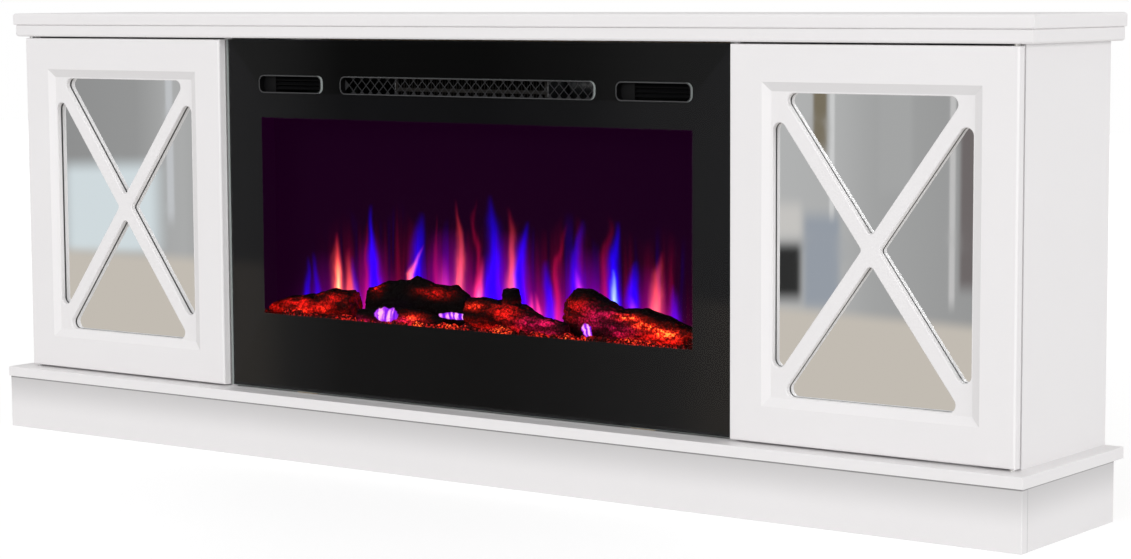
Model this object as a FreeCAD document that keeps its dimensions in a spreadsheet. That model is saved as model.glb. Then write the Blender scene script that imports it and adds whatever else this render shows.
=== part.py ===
import FreeCAD, Part
import math
import os
import re

import Sketcher

# Fireplace TV stand: a white media cabinet with an electric fireplace in the middle bay and a
# mirrored lattice door on each side. Millimetres, +X to the viewer's right, +Y to the back, +Z up,
# origin on the floor under the middle of the base ledge.

os.makedirs("parts", exist_ok=True)
doc = FreeCAD.newDocument("fireplace_tv_stand")
sheet = doc.addObject("Spreadsheet::Sheet", "sizes")

# Every driving size: its alias, its value and what it measures
SIZES = (
    ("overall_width", "1780", "base ledge, end to end"),
    ("overall_depth", "280", "base ledge, front to back"),
    ("plinth_height", "80", "floor to the underside of the ledge"),
    ("plinth_thickness", "15", "plinth boards"),
    ("plinth_inset", "2", "plinth behind the edge of the ledge"),
    ("plinth_end_inset", "1", "plinth ends inside the ends of the plinth front"),
    ("plinth_back_gap", "22", "room for a skirting board behind the plinth"),
    ("plinth_edge_radius", "1", "outer corners of the plinth front"),
    ("ledge_thickness", "15", "base ledge board"),
    ("ledge_front_projection", "28", "ledge in front of the door faces"),
    ("ledge_side_projection", "26", "ledge beyond the side panels"),
    ("ledge_edge_radius", "1.5", "upper edges of the ledge"),
    ("carcass_height", "520", "ledge to the underside of the moulding"),
    ("board_thickness", "15", "side panels, dividers and shelves"),
    ("back_thickness", "3", "thin back panels"),
    ("back_rabbet", "8", "lap of a back panel into a side panel"),
    ("back_rail_height", "70", "rails across the back of the middle bay"),
    ("cable_hole_width", "90", "cable hole in a back panel, end to end"),
    ("cable_hole_height", "45", "cable hole in a back panel"),
    ("cable_hole_rise", "55", "floor of a bay to the middle of its cable hole"),
    ("moulding_thickness", "18", "lower of the two top boards"),
    ("moulding_front_overhang", "1.5", "moulding in front of the door faces"),
    ("moulding_side_overhang", "19", "moulding beyond the side panels"),
    ("top_thickness", "18", "upper of the two top boards"),
    ("top_step", "3", "top board beyond the moulding"),
    ("top_edge_radius", "4", "outer rounding of the two top boards"),
    ("seam_edge_radius", "2.2", "rounding along the seam between the two top boards"),
    ("dowel_radius", "4", "wooden dowels"),
    ("dowel_in_panel", "20", "dowel length in a panel's end"),
    ("dowel_in_board", "9", "dowel length in the ledge or the moulding"),
    ("dowel_inset", "36", "dowel from a panel's front or back edge"),
    ("dowel_clearance", "0.1", "dowel to its hole"),
    ("shelf_rise", "262", "floor of a bay to the underside of its shelf"),
    ("shelf_setback", "24", "shelf behind the carcass front"),
    ("shelf_side_clearance", "1", "shelf to the panels beside it"),
    ("shelf_back_clearance", "1.5", "shelf to the back panel"),
    ("shelf_pin_radius", "2.5", "shelf pins"),
    ("shelf_pin_depth", "8", "shelf pin in its hole"),
    ("shelf_pin_reach", "9", "shelf pin under the shelf"),
    ("shelf_pin_inset", "42", "shelf pins from the shelf's front and back"),
    ("shelf_pin_pitch", "64", "rows of shelf pin holes"),
    ("shelf_pin_clearance", "0.1", "shelf pin to its hole and to the shelf"),
    ("door_thickness", "16", "door panel"),
    ("door_gap", "2", "door to the carcass front"),
    ("door_reveal", "2.5", "door to the ledge and to the moulding"),
    ("door_lap", "5", "door over the front edge of a divider"),
    ("door_edge_radius", "3", "outer edges of a door"),
    ("frame_width", "49", "flat border at the sides of a door"),
    ("rail_width", "48", "flat border at the top and the foot of a door"),
    ("bevel_width", "12", "sloped border of the door's recess"),
    ("recess_depth", "4.5", "door's recess"),
    ("bar_width", "20", "lattice bars"),
    ("lattice_margin", "2", "recess edge to the lattice openings"),
    ("lattice_edge_radius", "1.2", "front edges of the lattice openings"),
    ("recess_edge_radius", "1", "front edge of the door's recess"),
    ("lattice_corner_radius", "10", "outer corners of the lattice openings"),
    ("lattice_apex_radius", "6", "inner corners of the lattice openings"),
    ("rebate_lap", "14", "mirror rebate beyond the recess floor"),
    ("tape_thickness", "0.5", "foam tape between door and mirror"),
    ("tape_width", "11", "foam tape"),
    ("mirror_thickness", "2", "mirror glass"),
    ("mirror_clearance", "0.3", "mirror to the edge of its rebate"),
    ("clip_thickness", "1.2", "mirror clips"),
    ("clip_width", "14", "mirror clips"),
    ("clip_length", "26", "mirror clips"),
    ("clip_screw_radius", "3.5", "heads of the clip screws"),
    ("clip_screw_height", "1.4", "heads of the clip screws"),
    ("pivot_inset", "7", "door pivot from the door's outer edge"),
    ("pivot_radius", "2.5", "steel pivot pins"),
    ("pivot_in_board", "10", "pivot pin in the ledge or the moulding"),
    ("pivot_in_door", "12", "pivot pin in the door"),
    ("pivot_end_clearance", "0.5", "pivot pin to the bottom of its hole"),
    ("pivot_running_clearance", "0.05", "pivot pin in its bush, and bush in its hole"),
    ("pivot_collar_radius", "4", "collar that the door stands on"),
    ("pivot_collar_clearance", "0.15", "collar to the door"),
    ("bush_radius", "4.2", "nylon pivot bushes"),
    ("catch_width", "14", "magnetic catch, out from the divider"),
    ("catch_depth", "18", "magnetic catch, front to back"),
    ("catch_height", "46", "magnetic catch"),
    ("catch_drop", "90", "top of a bay to the middle of its catch"),
    ("catch_pole_thickness", "2", "steel pole plates of a catch"),
    ("catch_pole_reach", "1", "pole plates in front of the catch's case"),
    ("catch_clearance", "0.2", "pole plates to the strike plate"),
    ("strike_thickness", "1.2", "strike plate on the door"),
    ("strike_width", "14", "strike plate"),
    ("strike_height", "40", "strike plate"),
    ("glass_width", "892", "front glass"),
    ("glass_side_gap", "4", "front glass to the doors"),
    ("glass_end_gap", "2", "front glass to the ledge and to the moulding"),
    ("glass_thickness", "4", "front glass"),
    ("print_thickness", "0.3", "black print behind the glass"),
    ("flange_thickness", "1", "steel flange behind the glass"),
    ("flange_inset", "2", "flange inside the edge of the glass"),
    ("window_side_border", "64", "edge of the glass to the clear window"),
    ("window_rise", "113", "ledge to the bottom of the window"),
    ("window_drop", "116", "moulding to the top of the window"),
    ("flange_window_margin", "6", "flange opening outside the clear window"),
    ("vent_rise", "36", "top of the window to the vent slots"),
    ("vent_height", "26", "vent slots"),
    ("vent_corner_radius", "9", "vent slots"),
    ("intake_width", "121", "air intake slots"),
    ("vent_spacing", "36", "outlet slot to an intake slot"),
    ("collar_wall", "1.2", "vent collars"),
    ("collar_clearance", "0.15", "vent collars in the glass"),
    ("collar_depth", "10", "vent collars, front to back"),
    ("mesh_border", "7", "outlet mesh beyond its slot"),
    ("mesh_thickness", "0.8", "outlet mesh"),
    ("mesh_pitch", "16", "diamonds of the outlet mesh"),
    ("mesh_strand", "1.2", "strands of the outlet mesh"),
    ("louvre_depth", "8", "intake louvres, front to back"),
    ("louvre_border", "5", "frame of an intake louvre beyond its slot"),
    ("louvre_slat_thickness", "1.6", "slats of an intake louvre"),
    ("case_side_gap", "8", "fireplace case to the dividers"),
    ("case_top_gap", "11", "fireplace case to the moulding"),
    ("case_depth", "140", "fireplace case"),
    ("sheet_thickness", "1.2", "steel of the fireplace case"),
    ("runner_height", "13", "wooden runners under the case"),
    ("runner_width", "40", "wooden runners under the case"),
    ("runner_inset", "112", "runner from the end of the case"),
    ("back_slot_width", "5", "air slots in the back of the case"),
    ("back_slot_height", "40", "air slots in the back of the case"),
    ("back_slot_pitch", "12", "air slots in the back of the case"),
    ("deck_rise", "17", "top of the window to the heater deck"),
    ("screen_depth", "80", "carcass front to the flame screen"),
    ("screen_thickness", "3", "flame screen"),
    ("inner_clearance", "0.3", "loose fit of pieces inside the case"),
    ("bed_drop", "4", "bottom of the window to the top of the ember bed"),
    ("bed_wall", "2.5", "moulded ember bed"),
    ("bed_overlap", "30", "ember bed beyond the window at each end"),
    ("bed_front_gap", "4", "carcass front to the ember bed"),
    ("coal_radius", "10", "coals of the ember bed"),
    ("coal_pitch", "17", "coals of the ember bed"),
    ("log_diameter", "44", "a thick log"),
    ("log_sink", "3", "underside of a log that is flattened on the bed"),
    ("blower_end_room", "90", "end of the outlet slot to the blower housing"),
    ("blower_depth", "76", "carcass front to the blower's shaft"),
    ("blower_radius", "26", "blower wheel"),
    ("blower_rise", "36", "heater deck to the blower's shaft"),
    ("blower_scroll_gap", "4", "blower wheel to its housing"),
    ("blower_end_gap", "4", "blower wheel to the end plates"),
    ("blower_blade_thickness", "0.8", "blades of the blower wheel"),
    ("blower_blade_depth", "9", "ring of blades, from the rim inwards"),
    ("blower_blade_curve", "10", "curve of a blade"),
    ("blower_disc_thickness", "1.5", "end discs of the blower wheel"),
    ("shaft_radius", "3", "shafts of the blower and the flame spindle"),
    ("shaft_clearance", "0.08", "shafts in their bearings"),
    ("motor_radius", "22", "blower motor"),
    ("motor_length", "38", "blower motor"),
    ("motor_boss_radius", "9", "boss of a motor around its shaft"),
    ("motor_boss_length", "5", "boss of a motor around its shaft"),
    ("motor_foot_thickness", "2", "bracket under a motor"),
    ("duct_length", "64", "blower's shaft to the front of its outlet duct"),
    ("duct_top_rise", "10", "blower's shaft to the top of its outlet duct"),
    ("element_depth", "14", "heating element, front to back"),
    ("element_rail", "5", "rails of the heating element"),
    ("element_fin_thickness", "0.8", "fins of the heating element"),
    ("element_fin_pitch", "5", "fins of the heating element"),
    ("spindle_rise", "46", "case floor to the flame spindle"),
    ("spindle_depth", "30", "flame screen to the flame spindle"),
    ("spindle_end_room", "70", "end of the case to the spindle's bearing and its motor"),
    ("spindle_fin_length", "22", "reflecting fins, out from the spindle"),
    ("spindle_fin_width", "17", "reflecting fins, along the spindle"),
    ("spindle_fin_thickness", "0.8", "reflecting fins"),
    ("spindle_fin_pitch", "24", "reflecting fins"),
    ("bearing_thickness", "4", "upright of the spindle bearing"),
    ("bearing_width", "26", "upright of the spindle bearing"),
    ("spindle_motor_radius", "16", "flame spindle's motor"),
    ("spindle_motor_length", "20", "flame spindle's motor"),
    ("light_board_end_room", "80", "end of the case to a light board"),
    ("light_board_width", "12", "light boards"),
    ("light_board_thickness", "1.6", "light boards and control board"),
    ("light_size", "5", "lights on a light board"),
    ("light_height", "2", "lights on a light board"),
    ("light_pitch", "29", "lights on a light board"),
    ("control_width", "120", "control board"),
    ("control_depth", "70", "control board"),
    ("control_inset", "60", "control board from the end of the case"),
    ("standoff_height", "8", "posts under the control board"),
    ("standoff_radius", "3", "posts under the control board"),
    ("gland_radius", "9", "cord gland in the back of the case"),
    ("gland_flange_radius", "13", "cord gland's flange"),
    ("gland_flange_thickness", "3", "cord gland's flange"),
    ("gland_length", "16", "cord gland behind its flange"),
    ("gland_bore_radius", "4", "cord gland's bore"),
    ("gland_inset", "70", "cord gland from the end and the floor of the case"),
    ("cut_overrun", "1", "tools run past the faces that they cut"),
)
for row, (alias, amount, meaning) in enumerate(SIZES, start=1):
    sheet.set(f"A{row}", meaning)
    sheet.set(f"B{row}", amount)
    sheet.setAlias(f"B{row}", alias)
doc.recompute()

ALIASES = {alias for alias, amount, meaning in SIZES}
TINY = 1e-6

# Turns that lay a cylinder, made along Z, along another axis
TURNS = {
    "X": FreeCAD.Rotation(FreeCAD.Vector(0, 1, 0), 90),
    "Y": FreeCAD.Rotation(FreeCAD.Vector(1, 0, 0), -90),
    "Z": FreeCAD.Rotation(),
}


def cells(text):
    """Point every size that an expression names at its cell."""
    return re.sub(r"[a-z_]+", lambda word: cell_or_word(word.group()), text)


def cell_or_word(word):
    return f"sizes.{word}" if word in ALIASES else word


def value(text):
    """Work out an expression."""
    return float(sheet.evalExpression(cells(text)))


def bind(thing, **texts):
    for prop, text in texts.items():
        thing.setExpression(prop, cells(text))


def place(thing, x, y, z):
    for axis, text in (("x", x), ("y", y), ("z", z)):
        thing.setExpression(f"Placement.Base.{axis}", cells(text))


# Part primitives and booleans

def new(kind, name):
    thing = doc.addObject(kind, name)
    thing.Label = name
    return thing


def block(name, x, y, z, length, width, height):
    """A box from its low corner."""
    box = new("Part::Box", name)
    bind(box, Length=length, Width=width, Height=height)
    place(box, x, y, z)
    return box


def rod(name, axis, x, y, z, radius, length):
    """A cylinder that runs from a point along an axis."""
    cylinder = new("Part::Cylinder", name)
    bind(cylinder, Radius=radius, Height=length)
    cylinder.Placement = FreeCAD.Placement(FreeCAD.Vector(), TURNS[axis])
    place(cylinder, x, y, z)
    return cylinder


def group(name, pieces):
    """Separate solids kept together."""
    gathered = new("Part::Compound", name)
    gathered.Links = pieces
    return gathered


def cut(name, base, tools):
    carved = new("Part::Cut", name)
    carved.Base = base
    carved.Tool = tools[0] if len(tools) == 1 else group(f"{name}_tools", tools)
    return carved


def fuse(name, pieces):
    joined = new("Part::MultiFuse", name)
    joined.Shapes = pieces
    return joined


# Bodies built from sketches

def body(name, x, y, z):
    owner = new("PartDesign::Body", name)
    place(owner, x, y, z)
    return owner


def sketch(owner, name, role, offset="0"):
    """A sketch on one of the body's own planes, moved along that plane's normal."""
    plane = next(item for item in owner.Origin.OriginFeatures if item.Role == role)
    drawing = owner.newObject("Sketcher::SketchObject", f"{owner.Label}_{name}")
    drawing.AttachmentSupport = [(plane, "")]
    drawing.MapMode = "FlatFace"
    drawing.setExpression("AttachmentOffset.Base.z", cells(offset))
    return drawing


def pin(drawing, item, end, across, along):
    """Hold one point of a sketch at a place given by two expressions."""
    for kind, axis, text in (("DistanceX", -2, across), ("DistanceY", -1, along)):
        amount = value(text)
        if abs(amount) < TINY:
            drawing.addConstraint(Sketcher.Constraint("PointOnObject", item, end, axis))
            continue
        if amount > 0:
            rule = Sketcher.Constraint(kind, -1, 1, item, end, amount)
        else:
            rule = Sketcher.Constraint(kind, item, end, -1, 1, -amount)
            text = f"-({text})"
        drawing.setExpression(f"Constraints[{drawing.addConstraint(rule)}]", cells(text))


def polygon(drawing, corners):
    points = [FreeCAD.Vector(value(across), value(along), 0) for across, along in corners]
    first = drawing.GeometryCount
    count = len(points)
    for k in range(count):
        drawing.addGeometry(Part.LineSegment(points[k], points[(k + 1) % count]))
    for k in range(count):
        after = first + (k + 1) % count
        drawing.addConstraint(Sketcher.Constraint("Coincident", first + k, 2, after, 1))
        pin(drawing, first + k, 1, *corners[k])


def rectangle(drawing, left, right, low, high):
    polygon(drawing, [(left, low), (right, low), (right, high), (left, high)])


def circle(drawing, across, along, radius):
    centre = FreeCAD.Vector(value(across), value(along), 0)
    item = drawing.addGeometry(Part.Circle(centre, FreeCAD.Vector(0, 0, 1), value(radius)))
    rule = Sketcher.Constraint("Radius", item, value(radius))
    drawing.setExpression(f"Constraints[{drawing.addConstraint(rule)}]", cells(radius))
    pin(drawing, item, 3, across, along)


def pad(owner, drawing, length, back=False):
    solid = owner.newObject("PartDesign::Pad", f"{drawing.Name}_pad")
    solid.Profile = drawing
    solid.Reversed = back
    bind(solid, Length=length)
    return solid


def pocket(owner, drawing, length, back=False):
    """Cut a sketch into the body, and make sure that it did cut."""
    doc.recompute()
    before = owner.Shape.Volume
    hollow = owner.newObject("PartDesign::Pocket", f"{drawing.Name}_pocket")
    hollow.Profile = drawing
    hollow.Reversed = back
    bind(hollow, Length=length)
    doc.recompute()
    if owner.Shape.Volume > before - TINY:
        raise RuntimeError(f"{drawing.Name} cuts nothing")
    return hollow


def fillet(owner, radius, wanted):
    """Round the edges of the body that a test picks."""
    doc.recompute()
    base = owner.Tip
    names = [f"Edge{k}" for k, edge in enumerate(base.Shape.Edges, start=1) if wanted(edge)]
    rounding = owner.newObject("PartDesign::Fillet", f"{owner.Label}_rounding")
    rounding.Base = (base, names)
    bind(rounding, Radius=radius)
    return rounding


def runs_along(edge, axis):
    """True for a straight edge along an axis."""
    box = edge.BoundBox
    spans = {"X": box.XLength, "Y": box.YLength, "Z": box.ZLength}
    return abs(spans[axis] - edge.Length) < TINY


def lies_at(edge, axis, text):
    """True for an edge that lies in a plane across an axis."""
    box = edge.BoundBox
    spans = {"X": (box.XMin, box.XMax), "Y": (box.YMin, box.YMax), "Z": (box.ZMin, box.ZMax)}
    level = value(text)
    return all(abs(end - level) < TINY for end in spans[axis])


# Places that several pieces share

LEDGE_TOP = "(plinth_height + ledge_thickness)"
CARCASS_TOP = f"({LEDGE_TOP} + carcass_height)"
BACK = "(overall_depth / 2)"
BACK_PANEL_FRONT = f"({BACK} - back_thickness)"
DOOR_FRONT = "(ledge_front_projection - overall_depth / 2)"
DOOR_REAR = f"({DOOR_FRONT} + door_thickness)"
CARCASS_FRONT = f"({DOOR_REAR} + door_gap)"
BODY_SIDE = "(overall_width / 2 - ledge_side_projection)"
BAY_OUTER = f"({BODY_SIDE} - board_thickness)"
FREE_EDGE = "(glass_width / 2 + glass_side_gap)"
BAY_INNER = f"({FREE_EDGE} + door_lap)"
DIVIDER_INNER = f"({BAY_INNER} - board_thickness)"

WINDOW_WIDTH = "(glass_width - 2 * window_side_border)"
OUTLET_WIDTH = f"({WINDOW_WIDTH} - 2 * (vent_spacing + intake_width))"
BLOWER_LENGTH = f"({OUTLET_WIDTH} - 2 * blower_end_room)"

SIDES = (("left", "-1"), ("right", "1"))


def from_middle(side, low, length):
    """Low x of a piece that spans from low outwards on one side of the middle."""
    return low if side == "1" else f"(-({low}) - ({length}))"


# Plinth

PLINTH_FRONT = "(plinth_inset - overall_depth / 2)"
PLINTH_SIDE = "(overall_width / 2 - plinth_inset)"
PLINTH_INNER = f"({PLINTH_SIDE} - plinth_end_inset - plinth_thickness)"
PLINTH_BACK = f"({BACK} - plinth_back_gap)"
PLINTH_BOARD_REAR = f"({PLINTH_FRONT} + plinth_thickness)"


def plinth_front():
    owner = body("plinth_front", "0", PLINTH_FRONT, "0")
    outline = sketch(owner, "outline", "XY_Plane")
    rectangle(outline, f"-{PLINTH_SIDE}", PLINTH_SIDE, "0", "plinth_thickness")
    pad(owner, outline, "plinth_height")
    fillet(owner, "plinth_edge_radius", lambda edge: runs_along(edge, "Z") and lies_at(edge, "Y", "0"))
    return owner


def plinth_ends():
    reach = f"({PLINTH_BACK} - {PLINTH_BOARD_REAR})"
    ends = []
    for word, side in SIDES:
        x = from_middle(side, PLINTH_INNER, "plinth_thickness")
        name = f"{word}_plinth_end"
        ends.append(block(name, x, PLINTH_BOARD_REAR, "0", "plinth_thickness", reach, "plinth_height"))
    return group("plinth_ends", ends)


def plinth_back_rail():
    y = f"({PLINTH_BACK} - plinth_thickness)"
    width = f"2 * {PLINTH_INNER}"
    return block("plinth_back_rail", f"-{PLINTH_INNER}", y, "0", width, "plinth_thickness", "plinth_height")


def plinth_cross_braces():
    reach = f"({PLINTH_BACK} - plinth_thickness - {PLINTH_BOARD_REAR})"
    braces = []
    for step in (-1, 0, 1):
        x = f"{step} * ({BAY_INNER} - board_thickness / 2) - plinth_thickness / 2"
        name = f"plinth_brace_{step + 2}"
        braces.append(block(name, x, PLINTH_BOARD_REAR, "0", "plinth_thickness", reach, "plinth_height"))
    return group("plinth_cross_braces", braces)


# Ledge and top boards

DOWEL_FRONT = f"({CARCASS_FRONT} + dowel_inset)"
DOWEL_BACK = f"({BACK_PANEL_FRONT} - dowel_inset)"
SIDE_MIDDLE = f"({BODY_SIDE} - board_thickness / 2)"
DIVIDER_MIDDLE = f"({BAY_INNER} - board_thickness / 2)"
DOWEL_PLACES = [
    (f"{side} * {middle}", y)
    for word, side in SIDES
    for middle in (SIDE_MIDDLE, DIVIDER_MIDDLE)
    for y in (DOWEL_FRONT, DOWEL_BACK)
]
DOWEL_HOLE = "dowel_radius + dowel_clearance"
PIVOT_X = f"({BODY_SIDE} - pivot_inset)"
PIVOT_Y = f"({DOOR_FRONT} + door_thickness / 2)"
PIVOT_PLACES = [(f"{side} * {PIVOT_X}", PIVOT_Y) for word, side in SIDES]
PIVOT_HOLE = "pivot_radius + pivot_running_clearance"


def drill_board(owner, level, back):
    """Blind holes for the dowels and the door pivots in the ledge or the moulding."""
    dowels = sketch(owner, "dowel_holes", "XY_Plane", level)
    for x, y in DOWEL_PLACES:
        circle(dowels, x, y, DOWEL_HOLE)
    pocket(owner, dowels, "dowel_in_board + dowel_clearance", back)
    pivots = sketch(owner, "pivot_holes", "XY_Plane", level)
    for x, y in PIVOT_PLACES:
        circle(pivots, x, y, PIVOT_HOLE)
    pocket(owner, pivots, "pivot_in_board + pivot_running_clearance", back)


def outer_edges(edge, level, front, side):
    """Front and end edges of a board at one height."""
    if not lies_at(edge, "Z", level):
        return False
    return lies_at(edge, "Y", front) or lies_at(edge, "X", side) or lies_at(edge, "X", f"-{side}")


def base_ledge():
    owner = body("base_ledge", "0", "0", "plinth_height")
    front = "-overall_depth / 2"
    side = "(overall_width / 2)"
    outline = sketch(owner, "outline", "XY_Plane")
    rectangle(outline, f"-{side}", side, front, BACK)
    pad(owner, outline, "ledge_thickness")
    fillet(owner, "ledge_edge_radius", lambda edge: outer_edges(edge, "ledge_thickness", front, side))
    drill_board(owner, "ledge_thickness", False)
    return owner


MOULDING_FRONT = f"({DOOR_FRONT} - moulding_front_overhang)"
MOULDING_SIDE = f"({BODY_SIDE} + moulding_side_overhang)"


def top_moulding():
    owner = body("top_moulding", "0", "0", CARCASS_TOP)
    outline = sketch(owner, "outline", "XY_Plane")
    rectangle(outline, f"-{MOULDING_SIDE}", MOULDING_SIDE, MOULDING_FRONT, BACK)
    pad(owner, outline, "moulding_thickness")
    fillet(owner, "top_edge_radius", lambda edge: outer_edges(edge, "0", MOULDING_FRONT, MOULDING_SIDE))
    upper = "moulding_thickness"
    fillet(owner, "seam_edge_radius", lambda edge: outer_edges(edge, upper, MOULDING_FRONT, MOULDING_SIDE))
    drill_board(owner, "0", True)
    return owner


def top_board():
    owner = body("top_board", "0", "0", f"{CARCASS_TOP} + moulding_thickness")
    front = f"({MOULDING_FRONT} - top_step)"
    side = f"({MOULDING_SIDE} + top_step)"
    outline = sketch(owner, "outline", "XY_Plane")
    rectangle(outline, f"-{side}", side, front, BACK)
    pad(owner, outline, "top_thickness")
    fillet(owner, "seam_edge_radius", lambda edge: outer_edges(edge, "0", front, side))
    fillet(owner, "top_edge_radius", lambda edge: outer_edges(edge, "top_thickness", front, side))
    return owner


# Carcass panels

SHELF_FRONT = f"({CARCASS_FRONT} + shelf_setback)"
SHELF_BACK = f"({BACK_PANEL_FRONT} - shelf_back_clearance)"
PIN_ROWS = (f"({SHELF_FRONT} + shelf_pin_inset)", f"({SHELF_BACK} - shelf_pin_inset)")
PIN_RISE = "(shelf_rise - shelf_pin_radius - shelf_pin_clearance)"
PIN_HOLE = "shelf_pin_radius + shelf_pin_clearance"


def upright(name, x, depth, bay_face, outward):
    """A standing carcass panel, drilled for its dowels and for the shelf pins of its bay."""
    owner = body(name, x, CARCASS_FRONT, LEDGE_TOP)
    outline = sketch(owner, "outline", "XY_Plane")
    rectangle(outline, "0", "board_thickness", "0", depth)
    pad(owner, outline, "carcass_height")
    for word, level, back in (("low", "0", True), ("high", "carcass_height", False)):
        ends = sketch(owner, f"{word}_dowel_holes", "XY_Plane", level)
        for y in (DOWEL_FRONT, DOWEL_BACK):
            circle(ends, "board_thickness / 2", f"{y} - {CARCASS_FRONT}", DOWEL_HOLE)
        pocket(owner, ends, "dowel_in_panel + dowel_clearance", back)
    pins = sketch(owner, "shelf_pin_holes", "YZ_Plane", bay_face)
    for y in PIN_ROWS:
        for step in (-1, 0, 1):
            circle(pins, f"{y} - {CARCASS_FRONT}", f"{PIN_RISE} + {step} * shelf_pin_pitch", PIN_HOLE)
    pocket(owner, pins, "shelf_pin_depth + shelf_pin_clearance", outward)
    return owner


def side_panel(word, side):
    x = from_middle(side, BAY_OUTER, "board_thickness")
    depth = f"({BACK} - {CARCASS_FRONT})"
    bay_face = "0" if side == "1" else "board_thickness"
    owner = upright(f"{word}_side_panel", x, depth, bay_face, side == "1")
    rabbet = sketch(owner, "back_rabbet", "XY_Plane")
    near = "0" if side == "1" else "board_thickness - back_rabbet"
    rectangle(rabbet, near, f"{near} + back_rabbet", f"{depth} - back_thickness", depth)
    pocket(owner, rabbet, "carcass_height", True)
    return owner


def divider(word, side):
    x = from_middle(side, DIVIDER_INNER, "board_thickness")
    bay_face = "board_thickness" if side == "1" else "0"
    depth = f"({BACK_PANEL_FRONT} - {CARCASS_FRONT})"
    return upright(f"{word}_divider", x, depth, bay_face, side != "1")


def carcass_dowels():
    length = "dowel_in_panel + dowel_in_board"
    dowels = []
    for k, (x, y) in enumerate(DOWEL_PLACES, start=1):
        low = f"{LEDGE_TOP} - dowel_in_board"
        high = f"{CARCASS_TOP} - dowel_in_panel"
        dowels.append(rod(f"low_dowel_{k}", "Z", x, y, low, "dowel_radius", length))
        dowels.append(rod(f"high_dowel_{k}", "Z", x, y, high, "dowel_radius", length))
    return group("carcass_dowels", dowels)


def shelf(word, side):
    width = f"({BAY_OUTER} - {BAY_INNER} - 2 * shelf_side_clearance)"
    x = from_middle(side, f"({BAY_INNER} + shelf_side_clearance)", width)
    depth = f"{SHELF_BACK} - {SHELF_FRONT}"
    z = f"{LEDGE_TOP} + shelf_rise"
    return block(f"{word}_shelf", x, SHELF_FRONT, z, width, depth, "board_thickness")


def shelf_pins():
    length = "(shelf_pin_depth + shelf_pin_reach)"
    starts = (("outer", f"({BAY_OUTER} - shelf_pin_reach)"), ("inner", f"({BAY_INNER} - shelf_pin_depth)"))
    z = f"{LEDGE_TOP} + {PIN_RISE}"
    pins = []
    for word, side in SIDES:
        for face, low in starts:
            x = from_middle(side, low, length)
            for k, y in enumerate(PIN_ROWS, start=1):
                pins.append(rod(f"{word}_{face}_pin_{k}", "X", x, y, z, "shelf_pin_radius", length))
    return group("shelf_pins", pins)


def back_panels():
    """Thin back of each side bay, with a round-ended cable hole."""
    width = f"({BAY_OUTER} + back_rabbet - {DIVIDER_INNER})"
    panels = []
    for word, side in SIDES:
        x = from_middle(side, DIVIDER_INNER, width)
        owner = body(f"{word}_back_panel", x, BACK_PANEL_FRONT, LEDGE_TOP)
        outline = sketch(owner, "outline", "XZ_Plane")
        rectangle(outline, "0", width, "0", "carcass_height")
        pad(owner, outline, "back_thickness", True)
        hole = sketch(owner, "cable_hole", "XZ_Plane")
        left = f"({width} - cable_hole_width) / 2"
        low = "cable_hole_rise - cable_hole_height / 2"
        rectangle(hole, left, f"{left} + cable_hole_width", low, f"{low} + cable_hole_height")
        pocket(owner, hole, "back_thickness")
        fillet(owner, "cable_hole_height / 2 - cut_overrun", lambda edge: inner_corner(edge, width))
        panels.append(owner)
    return group("back_panels", panels)


def inner_corner(edge, width):
    """A corner of a hole cut through a thin upright panel that starts at x 0."""
    if not runs_along(edge, "Y"):
        return False
    return TINY < edge.BoundBox.XMin < value(width) - TINY


def back_rails():
    y = f"{BACK_PANEL_FRONT} - board_thickness"
    x = f"-{DIVIDER_INNER}"
    length = f"2 * {DIVIDER_INNER}"
    low = block("low_back_rail", x, y, LEDGE_TOP, length, "board_thickness", "back_rail_height")
    z = f"{CARCASS_TOP} - back_rail_height"
    high = block("high_back_rail", x, y, z, length, "board_thickness", "back_rail_height")
    return group("back_rails", [low, high])


# Door pivots and catches

DOOR_WIDTH = f"({BODY_SIDE} - {FREE_EDGE})"
DOOR_HEIGHT = "(carcass_height - 2 * door_reveal)"
DOOR_CENTRE = f"({FREE_EDGE} + {DOOR_WIDTH} / 2)"
DOOR_MIDDLE = f"({LEDGE_TOP} + carcass_height / 2)"


def pivot_pins():
    """Steel pins in the ledge and the moulding; each has a collar that fills the gap to the door."""
    length = "pivot_in_board + door_reveal + pivot_in_door - pivot_end_clearance"
    collar = "door_reveal - pivot_collar_clearance"
    pins = []
    for (word, side), (x, y) in zip(SIDES, PIVOT_PLACES):
        low = f"{LEDGE_TOP} - pivot_in_board"
        shank = rod(f"{word}_low_shank", "Z", x, y, low, "pivot_radius", length)
        ring = rod(f"{word}_low_collar", "Z", x, y, LEDGE_TOP, "pivot_collar_radius", collar)
        pins.append(fuse(f"{word}_low_pivot", [shank, ring]))
        high = f"{CARCASS_TOP} + pivot_in_board - ({length})"
        shank = rod(f"{word}_high_shank", "Z", x, y, high, "pivot_radius", length)
        under = f"{CARCASS_TOP} - ({collar})"
        ring = rod(f"{word}_high_collar", "Z", x, y, under, "pivot_collar_radius", collar)
        pins.append(fuse(f"{word}_high_pivot", [shank, ring]))
    return group("pivot_pins", pins)


CATCH_MIDDLE = f"({CARCASS_TOP} - catch_drop)"
POLE_FRONT = f"({DOOR_REAR} + strike_thickness + catch_clearance)"


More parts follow.
